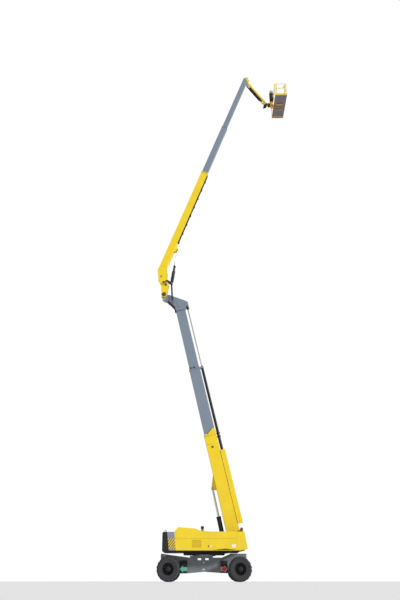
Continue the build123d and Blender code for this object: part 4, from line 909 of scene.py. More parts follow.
class BOOMLIFT_OT_turntable(bpy.types.Operator):
    """Adds the turntable's pin keepers, valve block, hoses, tread plates and the tail's fittings"""

    bl_idname = "boomlift.turntable"
    bl_label = "Turntable"

    def execute(self, context):
        hose = context.scene.boomlift_trim.hose
        pivot = joint_at("raise_lower_boom")
        foot = joint_at("tilt_lower_cylinder")
        pins = Shape()
        pins.pin_heads(pivot, 0.289, 0.075, thickness=0.008)
        pins.pin_heads(foot, 0.164, 0.055, thickness=0.012)
        pins.piece("foot_pins", "turntable", "steel", "bare_steel")
        self.valves()
        lines = Shape(GROUND)
        for i in range(4):
            y = -0.06 - 0.042 * i
            path = [(-0.42 + 0.05 * i, 0, 1.50), (-0.36 + 0.05 * i, 0, 1.56)]
            path += [
                (-0.20, 0, 1.52), (-0.05, 0, 1.40), (0.10, 0, 1.355), (1.00, 0, 1.355),
                (1.22, 0, 1.39)
            ]
            path += [
                (1.42, 0, 1.50), (1.58, 0.02, 1.60), (1.74, 0.03, 1.90), (1.84, 0.03, 2.14),
                (1.93, 0.03, 2.28)
            ]
            lines.pipe([(x, y + off, z) for x, off, z in path], hose)
        lines.piece("boom_hoses", "turntable", "black_plastic", "hose_rubber")
        clips = Shape(GROUND)
        for x in (0.2, 0.8):
            start = Vector((x, -0.22, CHANNEL_FLOOR))
            clips.block(start, start + Vector((0.05, 0.19, 0.052)), bevel=0.006)
        clips.piece("hose_clips", "turntable", "steel", "bare_steel")
        self.deck()
        self.tail()
        return {"FINISHED"}

    def valves(self):
        """The valve block in the channel, with its solenoids and pipe ends."""
        block = Shape(GROUND)
        block.block((-0.62, -0.30, CHANNEL_FLOOR), (-0.18, -0.03, 1.47), bevel=0.008)
        block.block((-0.66, -0.27, CHANNEL_FLOOR), (-0.14, -0.06, 1.35), bevel=0.003)
        for i in range(6):
            x = -0.57 + 0.068 * i
            block.rod((x, -0.30, 1.42), (x, -0.36, 1.42), 0.024, segments=20, bevel=0.003)
            block.rod((x, -0.24, 1.47), (x, -0.24, 1.50), 0.018, segments=6)
        block.piece("valve_block", "turntable", "steel", "bare_steel")
        tank = Shape(GROUND)
        tank.rod((-1.0, -0.28, 1.43), (-0.72, -0.28, 1.43), 0.085, segments=32, bevel=0.02)
        for x in (-0.98, -0.80):
            tank.block((x, -0.33, CHANNEL_FLOOR), (x + 0.05, -0.23, 1.38))
        tank.piece("filter", "turntable", "black_paint")

    def deck(self):
        """Tread plates with raised bars on the open deck."""
        plate = Shape(GROUND)
        for i in range(7):
            for j in range(9):
                x = -1.44 + 0.045 * i
                y = -0.56 + 0.14 * j
                tilt = 0.02 if (i + j) % 2 else -0.02
                plate.rod(
                    (x - 0.012, y - tilt, 1.473), (x + 0.012, y + tilt, 1.473), 0.005, segments=6
                )
        plate.block((-1.47, -0.62, DECK_TOP), (-1.12, 0.62, 1.474), bevel=0.001)
        plate.side_blocks((-1.1, 0.48, DECK_TOP), (1.40, 0.63, 1.473), bevel=0.001)
        plate.piece("tread_plates", "turntable", "black_paint", "chassis_grey")

    def tail(self):
        rear = corner("counterweight").x - MACHINE.x
        top = corner("counterweight", 1).z - MACHINE.z
        eyes = Shape(GROUND)
        section = [(-0.015, 0.032), (0.015, 0.032), (0.015, 0.060), (-0.015, 0.060)]
        for side in SIDES:
            foot = Vector((-2.06, side * 0.95, top))
            eyes.ring(section, foot + Vector((0, 0, 0.045)), (0, 1, 0), segments=28)
            eyes.block(
                foot - Vector((0.05, 0.04, 0.002)), foot + Vector((0.05, 0.04, 0.012)), 0.003
            )
        for y in (-0.9, -0.3, 0.3, 0.9):
            spot = Vector((rear, y, 1.72 if abs(y) > 0.5 else 1.58))
            seat, along = spot + Vector((0.003, 0, 0)), Vector((1, 0, 0))
            eyes.rod(seat, spot - along * 0.022, 0.038, segments=6, bevel=0.004)
            eyes.rod(seat, spot - along * 0.006, 0.055, segments=32)
        eyes.piece("tail_bolts", "turntable", "steel", "bare_steel")
        lamps = Shape(GROUND)
        lamps.side_blocks((rear - 0.012, 1.01, 2.16), (rear + 0.008, 1.15, 2.23), bevel=0.004)
        lamps.piece("tail_reflectors", "turntable", "amber_lens", "red_knob")


class BOOMLIFT_OT_hoods(bpy.types.Operator):
    """Adds the hoods' grilles, lamps, vents and seals, the stack's cap and the beacon's cage"""

    bl_idname = "boomlift.hoods"
    bl_label = "Hoods"

    def execute(self, context):
        for side, name in NAMED_SIDES:
            self.grille(side, name)
            self.nose(side, name)
            self.lid(side, name)
        self.stack()
        self.beacon()
        return {"FINISHED"}

    def grille(self, side, name):
        shape = Shape(GROUND)
        inner = side * (HOOD_SIDE - 0.026)
        back = side * (HOOD_SIDE - 0.034)
        shape.block((-0.68, inner, 1.57), (-0.08, back, 2.01), bevel=0.002)
        for i in range(9):
            z = 1.62 + 0.043 * i
            shape.block((-0.66, inner, z), (-0.10, inner + side * 0.008, z + 0.008))
        shape.piece("grille_" + name, "turntable", "yellow_paint", "grille_yellow")

    def nose(self, side, name):
        """The work lamp in the nose and the catch in front of the lid."""
        face = Vector((2.195, side * HOOD_MIDDLE, 2.06))
        out = Vector((0.986, 0, 0.167))
        ring = Shape(GROUND)
        section = [(-0.03, 0.058), (0.012, 0.058), (0.018, 0.064), (0.012, 0.078), (-0.03, 0.080)]
        ring.ring(section, face, out, segments=40)
        y = side * HOOD_MIDDLE
        ring.block((1.765, y - 0.06, 2.386), (1.84, y + 0.06, 2.398), bevel=0.004)
        ring.block((1.775, y - 0.02, 2.396), (1.83, y + 0.02, 2.412), bevel=0.005)
        ring.piece("lamp_ring_" + name, "turntable", "black_plastic")
        glass = Shape(GROUND)
        glass.turned(
            [(-0.02, 0.0), (-0.02, 0.060), (0.006, 0.060), (0.012, 0.040), (0.015, 0.0)], face, out,
            segments=40
        )
        glass.piece("lamp_" + name, "turntable", "grey_paint", "lamp_glass")

    def lid(self, side, name):
        """The lid's top vent and the strip along its front edge."""
        body = "lid_" + name
        shape = Shape(GROUND)
        y0, y1 = sorted((side * 0.80, side * 1.08))
        for i in range(7):
            x = 0.62 + 0.07 * i
            shape.block((x, y0, LID_TOP), (x + 0.035, y1, 2.395), bevel=0.004)
        shape.block((0.58, y0 - 0.02, LID_TOP), (1.13, y1 + 0.02, 2.389), bevel=0.001)
        shape.piece("lid_vent_" + name, body, "yellow_paint", "hood_paint")
        seal = Shape(GROUND)
        seal.block((1.725, side * 0.66, LID_TOP), (1.742, side * 1.238, 2.390), bevel=0.002)
        seal.piece("lid_seal_" + name, body, "black_plastic")

    def stack(self):
        low, high = corner("air_stack"), corner("air_stack", 1)
        centre = (low + high) / 2
        top = Vector((centre.x, centre.y, high.z))
        radius = (high.x - low.x) / 2
        cap = Shape()
        cap.turned(
            [
                (-0.004, 0.0), (-0.004, radius - 0.004), (0.006, radius - 0.006), (0.016, 0.05),
                (0.02, 0.0)
            ],
            top, (0, 0, 1)
        )
        for drop in (0.03, 0.055, 0.08):
            section = [(-0.004, radius - 0.003), (0.0, radius + 0.004), (0.004, radius - 0.003)]
            cap.ring(section, top - Vector((0, 0, drop)), (0, 0, 1))
        cap.piece("stack_cap", "lid_right", "black_paint", "black_plastic")
        band = Shape()
        section = [(-0.008, 0.061), (-0.008, 0.066), (0.008, 0.066), (0.008, 0.061)]
        band.ring(section, top - Vector((0, 0, 0.14)), (0, 0, 1))
        band.piece("stack_band", "lid_right", "steel", "bare_steel")

    def beacon(self):
        low, high = corner("beacon"), corner("beacon", 1)
        centre = (low + high) / 2
        base = Vector((centre.x, centre.y, low.z))
        ring = Shape()
        section = [
            (0.0, 0.069), (0.0, 0.084), (0.055, 0.078), (0.064, 0.070), (0.064, 0.058),
            (0.058, 0.058)
        ]
        ring.ring(section, base, (0, 0, 1))
        ring.piece("beacon_base", "turntable", "black_plastic")
        cage = Shape()
        height = high.z - low.z
        bars = [
            (0.078, 0.05), (0.080, height * 0.72), (0.066, height - 0.01), (0.034, height + 0.012),
            (0.0, height + 0.014)
        ]
        cap = [
            (height * 0.5, 0.0), (height * 0.5, 0.070), (height * 0.8, 0.068),
            (height + 0.004, 0.05), (height + 0.006, 0.0)
        ]
        cage.pipe([base + Vector((radius, 0, z)) for radius, z in bars], 0.006, segments=8)
        cage.repeat(around(6, base, (0, 0, 1), start=0.3))
        cage.turned(cap, base, (0, 0, 1), segments=40)
        cage.piece("beacon_cage", "turntable", "black_plastic")


def mouth_bolts(shape, s, middle, depth, width, count, radius):
    """Pad bolts round a boom section's mouth: middle and depth out of its back, width across."""
    low = middle - depth / 2
    high = middle + depth / 2
    spread = [low + depth * (i + 0.5) / count for i in range(count)]
    across = [-width * 0.27, width * 0.27]
    shape.side_bolts([(s, z) for z in spread], width / 2, radius, 0.014)
    shape.bolts([(s, y, high) for y in across], (0, 0, 1), radius, 0.014)
    shape.bolts([(s, y, low) for y in across], (0, 0, -1), radius, 0.014)
    return shape


class BOOMLIFT_OT_lower_boom(bpy.types.Operator):
    """Adds the lower boom's mouth bands, pad bolts, cover flanges, feed guides, pipes and clamps"""

    bl_idname = "boomlift.lower_boom"
    bl_label = "Lower boom"

    def execute(self, context):
        trim = context.scene.boomlift_trim
        band = Shape(LOWER)
        for s0, s1 in ((5.58, 5.75), (5.10, 5.16)):
            band.side_blocks((s0, 0.227, -0.078), (s1, 0.241, 0.658), bevel=0.003)
            band.block((s0, -0.238, 0.648), (s1, 0.238, 0.660), bevel=0.003)
            band.block((s0, -0.238, -0.080), (s1, 0.238, -0.068), bevel=0.003)
        cheek = [
            (5.60, 0.45), (5.76, 0.40), (6.02, 0.06), (6.02, 0.02), (5.90, -0.07), (5.60, -0.07)
        ]
        band.plate(cheek, -0.254, -0.2405)
        band.plate(cheek, 0.234, 0.252)
        band.piece("mouth_bands", "lower_boom", "yellow_paint")
        bolts = Shape(LOWER)
        for s in (5.62, 5.70):
            mouth_bolts(bolts, s, LOWER_MIDDLE, 0.74, 0.48, 4, trim.bolt)
        spots = [(0.66 + 0.35 * i, out * 0.172, -0.080) for i in range(12) for out in SIDES]
        bolts.bolts(spots, (0, 0, -1), 0.010, 0.010)
        bolts.pin_heads((2.67, 0, 0.866), 0.124, 0.045, thickness=0.012)
        bolts.piece("lower_boom_bolts", "lower_boom", "steel", "bare_steel")
        self.cover()
        self.guides()
        self.pipes()
        self.mid(trim)
        return {"FINISHED"}

    def cover(self):
        """The hose cover's flanges, the bands across it and a black strip that is a painted shadow line along its join
        with the tube.
        """
        shape = Shape(LOWER)
        shape.side_blocks((0.53, 0.148, -0.081), (4.66, 0.196, -0.069), bevel=0.002)
        for i in range(6):
            s = 0.6 + 0.78 * i
            shape.block((s, -0.154, -0.365), (s + 0.03, 0.154, -0.358), bevel=0.002)
            shape.side_blocks((s, 0.148, -0.365), (s + 0.03, 0.155, -0.078), bevel=0.002)
        # A thin black strip on the tube along the cover's edge: a painted shadow line in the gap.
        seam = Shape(LOWER)
        seam.side_blocks((0.53, 0.228, -0.074), (4.66, 0.232, -0.046), bevel=0.001)
        seam.piece("cover_seams", "lower_boom", "black_plastic")
        shape.piece("hose_cover_bands", "lower_boom", "yellow_paint")

    def guides(self):
        """Rings on the base's mouth that steady the feed barrel."""
        shape = Shape(LOWER)
        section = [(-0.025, 0.094), (-0.025, 0.120), (0.025, 0.120), (0.025, 0.094)]
        for s in (5.49, 5.70):
            shape.ring(section, (s, 0, FEED_LINE), (1, 0, 0), segments=40)
            shape.block((s - 0.035, -0.07, -0.100), (s + 0.035, 0.07, -0.066), bevel=0.004)
        shape.block((4.88, -0.262, 0.27), (4.98, -0.228, 0.36), bevel=0.006)
        shape.piece("feed_guides", "lower_boom", "black_paint")

    def pipes(self):
        """Hard pipes with their clamps along the far side."""
        shape = Shape(LOWER)
        for i in range(3):
            z = 0.18 + 0.05 * i
            points = [
                (0.62, 0.236, z + 0.1), (0.72, 0.258, z), (2.5, 0.258, z), (4.6, 0.258, z),
                (5.2, 0.258, z)
            ]
            shape.pipe(points + [(5.34, 0.258, z + 0.02), (5.44, 0.236, z + 0.05)], 0.012)
        shape.piece("boom_pipes", "lower_boom", "steel", "bare_steel")
        clamps = Shape(LOWER)
        for i in range(6):
            s = 0.85 + 0.8 * i
            clamps.block((s, 0.229, 0.15), (s + 0.05, 0.278, 0.31), bevel=0.006)
        clamps.piece("pipe_clamps", "lower_boom", "black_plastic")

    def mid(self, trim):
        """The middle section's pad bolts, rod guide and end stops."""
        bolts = Shape(LOWER)
        mouth_bolts(bolts, 9.95, LOWER_MIDDLE, 0.688, 0.428, 4, trim.bolt)
        bolts.piece("lower_mid_bolts", "lower_mid", "steel", "bare_steel")
        shape = Shape(LOWER)
        section = [(0.0, 0.044), (0.0, 0.086), (0.05, 0.080), (0.06, 0.066), (0.06, 0.044)]
        shape.ring(section, (10.0, 0, FEED_LINE), (1, 0, 0), segments=40)
        for z in (0.30, 0.52):
            shape.block((9.97, -0.227, z - 0.05), (10.06, -0.178, z + 0.05), bevel=0.008)
        shape.block((9.97, 0.178, 0.25), (10.06, 0.227, 0.35), bevel=0.008)
        shape.piece("end_stops", "lower_mid", "black_plastic")


class BOOMLIFT_OT_elbow(bpy.types.Operator):
    """Adds the elbow's boss, cover plates, bolts, rod end and hoses, and the links' pin ends"""

    bl_idname = "boomlift.elbow"
    bl_label = "Elbow"

    def execute(self, context):
        trim = context.scene.boomlift_trim
        centre = joint_at("raise_upper_boom")
        face = Vector((centre.x, corner("elbow_knuckle").y, centre.z))
        out = Vector((0, -1, 0))
        boss = Shape()
        section = [
            (-0.004, 0.060), (0.014, 0.064), (0.020, 0.078), (0.020, 0.112), (0.012, 0.122),
            (-0.004, 0.124)
        ]
        boss.ring(section, face, out, segments=64)
        boss.rod(face, face + out * 0.012, 0.062, segments=40, bevel=0.003)
        boss.piece("boss_ring", "lower_inner", "steel", "bronze_boss")
        dark = Shape()
        section = [
            (-0.008, 0.126), (0.004, 0.126), (0.006, 0.140), (-0.006, 0.148), (-0.010, 0.142)
        ]
        dark.ring(section, face, out, segments=64)
        dark.piece("boss_seal", "lower_inner", "black_plastic")
        bolts = Shape()
        spot = face + Vector((0, 0, 0.095)) + out * 0.018
        bolts.rod(spot, spot + out * 0.012, 0.011, segments=6)
        bolts.repeat(around(8, face, out, start=0.2))
        bolts.rod(face, face + out * 0.03, 0.022, segments=6, bevel=0.003)
        bolts.piece("boss_bolts", "lower_inner", "steel", "bare_steel")
        self.plates(trim)
        self.links()
        return {"FINISHED"}

    def plates(self, trim):
        """Cover plates, the feed rod's end and the hoses on the knuckle."""
        plate = Shape(LOWER)
        cover = [
            (14.42, 0.10), (14.72, 0.13), (14.80, 0.28), (14.74, 0.46), (14.44, 0.40), (14.38, 0.25)
        ]
        plate.plate(cover, -0.249, -0.238)
        plate.plate(cover, 0.188, 0.199)
        plate.piece("knuckle_plates", "lower_inner", "grey_paint", "boom_grey")
        bolts = Shape(LOWER)
        for out, near in ((-1, -0.249), (1, 0.199)):
            bolts.bolts([(s, near, z) for s, z in cover], (0, out, 0), 0.010, 0.010)
        bolts.piece("knuckle_bolts", "lower_inner", "steel", "bare_steel")
        end = Shape(LOWER)
        end.rod((14.22, 0, FEED_LINE), (14.355, 0, FEED_LINE), 0.078, segments=32, bevel=0.012)
        end.block((14.20, -0.10, -0.30), (14.27, 0.10, -0.12), bevel=0.01)
        end.piece("rod_end", "lower_inner", "black_plastic")
        lines = Shape(LOWER)
        for i in range(5):
            y = -0.20 + 0.09 * i
            path = [
                (14.17, 0.624), (14.24, 0.630), (14.34, 0.636), (14.48, 0.654), (14.72, 0.790),
                (15.00, 0.974), (15.14, 1.03)
            ]
            lines.pipe([(s, y, z) for s, z in path], trim.hose * 1.8)
        for s, z in ((14.25, 0.622), (14.60, 0.705), (14.92, 0.915)):
            lines.block((s - 0.03, -0.24, z - 0.035), (s + 0.03, 0.19, z + 0.05), bevel=0.01)
        lines.piece("knuckle_hoses", "lower_inner", "black_plastic", "hose_rubber")

    def links(self):
        """Flat pin ends on the tie and rocker links."""
        shape = Shape()
        for joint, radius in (("turn_tie", 0.045), ("tilt_upper_cylinder", 0.050)):
            for out in SIDES:
                spot = joint_at(joint) + Vector((0, out * 0.147, 0))
                shape.rod(
                    spot, spot + Vector((0, out * 0.010, 0)), radius, segments=32, bevel=0.002
                )
        shape.piece("tie_pins", "tie", "chromed_rod", "bare_steel")


class BOOMLIFT_OT_upper_boom(bpy.types.Operator):
    """Adds the upper boom's tray clamps, pad bolts, root pins, ports and hoses"""

    bl_idname = "boomlift.upper_boom"
    bl_label = "Upper boom"

    def execute(self, context):
        trim = context.scene.boomlift_trim
        clamps = Shape(UPPER)
        for i in range(8):
            s = 4.26 + 0.81 * i
            clamps.block((s - 0.05, -0.125, 0.505), (s + 0.05, 0.125, 0.590), bevel=0.006)
        clamps.piece("tray_clamps", "upper_boom", "black_paint", "black_plastic")
        bolts = Shape(UPPER)
        for s in (10.57, 10.62):
            mouth_bolts(bolts, s, 0.828, 0.50, 0.42, 4, trim.bolt)
        bolts.pin_heads((1.211, 0, 0.663), 0.199, 0.055, thickness=0.012)
        bolts.pin_heads((3.59, 0, 0.400), 0.114, 0.036, thickness=0.012)
        bolts.side_bolts([(1.98, z) for z in (0.64, 0.74, 0.84, 0.94, 1.02)], 0.2, 0.012, 0.012)
        bolts.piece("upper_boom_bolts", "upper_boom", "steel", "bare_steel")
        mid = Shape(UPPER)
        mouth_bolts(mid, 15.42, 0.8425, 0.435, 0.36, 3, trim.bolt)
        mid.piece("upper_mid_bolts", "upper_mid", "steel", "bare_steel")
        self.ports(trim)
        self.head()
        return {"FINISHED"}

    def ports(self, trim):
        """Hose ports on the near root plate and the hoses between them."""
        ports = Shape(UPPER)
        spots = [(0.86, 0.375), (0.70, 0.135), (0.98, 0.22)]
        for s, z in spots:
            ports.rod((s, -0.198, z), (s, -0.228, z), 0.062, segments=28, bevel=0.008)
        ports.piece("hose_ports", "upper_boom", "black_plastic")
        lines = Shape(UPPER)
        for (s0, z0), (s1, z1) in zip(spots, spots[1:]):
            bend = ((0, -0.220), (0.2, -0.262), (0.5, -0.275), (0.8, -0.262), (1, -0.220))
            path = [(s0 + (s1 - s0) * part, y, z0 + (z1 - z0) * part) for part, y in bend]
            lines.pipe(path, trim.hose * 1.3)
        lines.piece("root_hoses", "upper_boom", "black_plastic", "hose_rubber")

    def head(self):
        """The boom head's bolts and the roller's end."""
        shape = Shape(UPPER)
        spots = [(20.98, 0.72), (20.98, 0.98), (21.10, 0.74), (21.12, 0.94)]
        shape.side_bolts(spots, 0.14, 0.012, 0.012)
        shape.rod((21.0, -0.152, 0.85), (21.0, -0.138, 0.85), 0.05, segments=28, bevel=0.004)
        shape.piece("head_bolts", "upper_inner", "steel", "bare_steel")


class BOOMLIFT_OT_cylinders(bpy.types.Operator):
    """Adds the lift cylinders' glands, ports, pipes and sleeves"""

    bl_idname = "boomlift.cylinders"
    bl_label = "Lift cylinders"

    def execute(self, context):
        sizes = (
            ("lower", LOWER_LIFT, 1.80, 0.125, 0.062), ("upper", UPPER_LIFT, 1.40, 0.075, 0.038),
            ("jib", JIB_LIFT, 1.90, 0.050, 0.025)
        )
        for name, line, length, radius, rod in sizes:
            self.gland(name, line, length, radius, rod)
            self.pipes(name, line, length, radius)
        self.sleeves()
        return {"FINISHED"}

    def gland(self, name, line, length, radius, rod):
        inner = rod + 0.0012
        section = [
            (length - 0.09, radius - 0.002), (length - 0.088, radius + 0.007),
            (length + 0.008, radius + 0.007), (length + 0.014, radius),
            (length + 0.014, inner + 0.008), (length + 0.010, inner), (length - 0.002, inner),
            (length - 0.002, radius - 0.004)
        ]
        shape = Shape(line)
        shape.ring(section, (0, 0, 0), (1, 0, 0), segments=56)
        first = Vector((length + 0.012, 0, (radius + inner) / 2 + 0.004))
        spots = [Matrix.Rotation(2 * pi * i / 8, 3, "X") @ first for i in range(8)]
        shape.bolts(spots, (1, 0, 0), radius * 0.075, 0.008)
        shape.piece("gland_" + name, name + "_lift_barrel", "black_paint")

    def pipes(self, name, line, length, radius):
        """Two ports and the hard pipe between them, on the near side of the barrel."""
        shape = Shape(line)
        bore = max(radius * 0.12, 0.006)
        off = radius + bore * 2.2
        low, high = 0.16 * length, length - 0.16
        for s in (low, high):
            shape.block(
                (s - bore * 3, -off, -bore * 3), (s + bore * 3, -radius * 0.9, bore * 3),
                bevel=bore * 0.5
            )
        shape.pipe(
            [
                (low, -off + bore, 0), (low + 0.05, -off, 0), (high - 0.05, -off, 0),
                (high, -off + bore, 0)
            ],
            bore
        )
        shape.piece("pipe_" + name, name + "_lift_barrel", "black_paint")

    def sleeves(self):
        upper = Shape(UPPER_LIFT)
        section = [
            (0.15, 0.072), (0.16, 0.104), (0.19, 0.110), (0.94, 0.110), (0.97, 0.104), (0.98, 0.072)
        ]
        upper.ring(section, (0, 0, 0), (1, 0, 0), segments=56)
        upper.block((0.40, -0.165, -0.05), (0.62, -0.10, 0.05), bevel=0.008)
        upper.piece("sleeve_upper", "upper_lift_barrel", "black_paint")
        jib = Shape(JIB_LIFT)
        section = [
            (0.40, 0.048), (0.41, 0.060), (0.43, 0.064), (1.83, 0.064), (1.85, 0.060), (1.86, 0.048)
        ]
        jib.ring(section, (0, 0, 0), (1, 0, 0), segments=40)
        jib.piece("sleeve_jib", "jib_lift_barrel", "black_paint")


class BOOMLIFT_OT_jib(bpy.types.Operator):
    """Adds the jib's hose carrier, cheek, level pins, knee plates and the rotator's parts"""

    bl_idname = "boomlift.jib"
    bl_label = "Jib"

    def execute(self, context):
        hose = context.scene.boomlift_trim.hose
        carrier = Shape(JIB)
        carrier.block((0.64, 0.054, -0.04), (2.48, 0.088, 0.06), bevel=0.006)
        for z in (-0.02, 0.04):
            path = [
                (0.56, 0.060, z), (0.66, 0.096, z), (1.5, 0.096, z), (2.46, 0.096, z),
                (2.56, 0.060, z)
            ]
            carrier.pipe(path, hose * 0.6)
        carrier.side_blocks((0.66, 0.075, -0.170), (2.48, 0.081, -0.070), bevel=0.001)
        carrier.side_blocks((0.66, 0.054, -0.088), (2.48, 0.080, -0.074), bevel=0.001)
        carrier.piece("hose_carrier", "jib", "black_plastic", "hose_rubber")
        cheek = [
            (-0.08, 0.02), (-0.02, 0.06), (0.34, 0.05), (0.40, 0.01), (0.40, -0.09), (0.34, -0.13),
            (-0.02, -0.14), (-0.08, -0.10)
        ]
        near = corner("upper_boom_inner").y
        cover = Shape(JIB)
        cover.plate(cheek, near - 0.016, near - 0.003)
        cover.rod((0, near - 0.010, 0), (0, near - 0.034, 0), 0.062, segments=40, bevel=0.006)
        cover.piece("jib_cheek", "jib", "yellow_paint")
        pins = Shape()
        pins.pin_heads(joint_at("level_basket"), 0.089, 0.055, thickness=0.010)
        pins.piece("level_pins", "leveller", "steel", "bare_steel")
        self.knee()
        self.rotator()
        return {"FINISHED"}

    def knee(self):
        """The levelling linkage's knee plates and their pins."""
        knee = Shape(JIB)
        outline = [
            (2.93, 0.06), (3.07, 0.07), (3.20, -0.20), (3.16, -0.37), (3.06, -0.37), (2.96, -0.20)
        ]
        for out in SIDES:
            near, far = sorted((out * 0.092, out * 0.108))
            knee.plate(outline, near, far)
            knee.rod(
                (3.11, out * 0.094, -0.31), (3.11, out * 0.116, -0.31), 0.045, segments=28,
                bevel=0.004
            )
        knee.piece("knee_plates", "leveller", "black_paint")

    def rotator(self):
        """The rotator's drum on the post, its valve and the ring of bolts."""
        swing = joint_at("swing_basket")
        base = Vector((swing.x, swing.y, corner("level_bracket", 1).z))
        drum = Shape()
        section = [
            (-0.02, 0.0), (-0.02, 0.112), (-0.294, 0.112), (-0.294, 0.140), (-0.280, 0.150),
            (-0.235, 0.152), (-0.225, 0.142)
        ]
        section += [
            (-0.02, 0.142), (-0.01, 0.152), (0.03, 0.152), (0.045, 0.138), (0.05, 0.09),
            (0.17, 0.088), (0.19, 0.07), (0.195, 0.0)
        ]
        drum.turned(section, base, (0, 0, 1), segments=56)
        drum.piece("rotator_drum", "leveller", "yellow_paint", "amber_paint")
        arm = Shape()
        pivot = joint_at("level_basket")
        arm.block(
            pivot + Vector((0.115, -0.118, -0.20)), pivot + Vector((0.27, 0.118, 0.06)), bevel=0.012
        )
        arm.piece("rotator_valve", "leveller", "black_paint")
        bolts = Shape()
        bolts.bolts([base + Vector((0.120, 0, 0.040))], (0, 0, 1), 0.009, 0.014)
        bolts.repeat(around(12, base, (0, 0, 1)))
        bolts.piece("rotator_bolts", "leveller", "steel", "bare_steel")


class BOOMLIFT_OT_basket(bpy.types.Operator):
    """Adds the basket's floor sheet, beams, slats, lanyard rings, gate latch and foot switch"""

    bl_idname = "boomlift.basket"
    bl_label = "Basket"

    def execute(self, context):
        low, high = corner("basket_floor"), corner("basket_floor", 1)
        sheet = Shape()
        sheet.block(low + Vector((0.012, 0.012, 0.024)), high - Vector((0.012, 0.012, 0.013)))
        sheet.piece("floor_sheet", "basket", "steel", "expanded_floor", smooth=False)
        beams = Shape()
        for y in (-0.30, -0.24, 0.27):
            start = Vector((low.x + 0.16, y - 0.02, low.z - 0.045))
            beams.block(start, Vector((high.x - 0.20, y + 0.02, low.z)), bevel=0.006)
        beams.piece("floor_beams", "basket", "yellow_paint", "amber_paint")
        slats = Shape()
        for i in range(10):
            start = Vector((low.x + 0.025 + 0.09 * i, high.y - 0.30, low.z - 0.012))
            slats.block(start, start + Vector((0.065, 0.28, 0.014)), bevel=0.004)
        slats.piece("floor_slats", "basket", "grey_paint", "tan_board")
        self.rings(low, high)
        self.gate()
        self.foot_switch(low, high)
        return {"FINISHED"}

    def rings(self, low, high):
        """Lanyard rings on the rails and the collars at the rails' joints."""
        shape = Shape()
        section = [(-0.006, 0.020), (0.006, 0.020), (0.006, 0.032), (-0.006, 0.032)]
        for x in (low.x + RAIL_RADIUS, high.x - RAIL_RADIUS):
            inward = 1 if x < (low.x + high.x) / 2 else -1
            for y in (-0.62, 0.62):
                centre = (x + inward * 0.046, y, high.z + 0.76)
                shape.ring(section, centre, (0, 1, 0), segments=24)
        shape.piece("lanyard_rings", "basket", "steel", "bare_steel")
        collars = Shape()
        for x in (low.x + RAIL_RADIUS, high.x - RAIL_INSET):
            for y in (
                low.y + RAIL_INSET, low.y + POST_SPACE, high.y - POST_SPACE, high.y - RAIL_INSET
            ):
                for z in (0.76, 0.205):
                    base = Vector((x, y, high.z + z))
                    collars.rod(
                        base - Vector((0, 0, 0.03)), base + Vector((0, 0, 0.03)), 0.0225,
                        segments=20, bevel=0.003
                    )
        collars.piece("rail_collars", "basket", "yellow_paint")

    def gate(self):
        """The gate's latch and its handle."""
        low, high = corner("gate"), corner("gate", 1)
        y = (low.y + high.y) / 2
        shape = Shape()
        shape.block(
            (high.x - 0.075, y + 0.012, low.z + 0.82), (high.x - 0.015, y + 0.042, low.z + 0.92),
            bevel=0.006
        )
        bend = ((0.06, 0.03, 0.90), (0.07, 0.065, 0.95), (0.12, 0.07, 0.97), (0.20, 0.07, 0.97))
        shape.pipe([(high.x - x, y + out, low.z + z) for x, out, z in bend], 0.009)
        shape.piece("gate_latch", "gate", "black_plastic")

    def foot_switch(self, low, high):
        shape = Shape()
        base = Vector((low.x + 0.16, -0.10, high.z))
        shape.block(base, base + Vector((0.22, 0.17, 0.02)), bevel=0.005)
        shape.plate(
            [
                (base.x + 0.02, base.z + 0.02), (base.x + 0.20, base.z + 0.02),
                (base.x + 0.20, base.z + 0.065)
            ],
            base.y + 0.02, base.y + 0.15
        )
        arch = [(0.03, 0.02), (0.10, 0.11), (0.17, 0.12)]
        near = [base + Vector((x, 0.005, z)) for x, z in arch]
        far = [base + Vector((x, 0.165, z)) for x, z in reversed(arch)]
        shape.pipe(near + far, 0.008)
        shape.piece("foot_switch", "basket", "black_plastic")


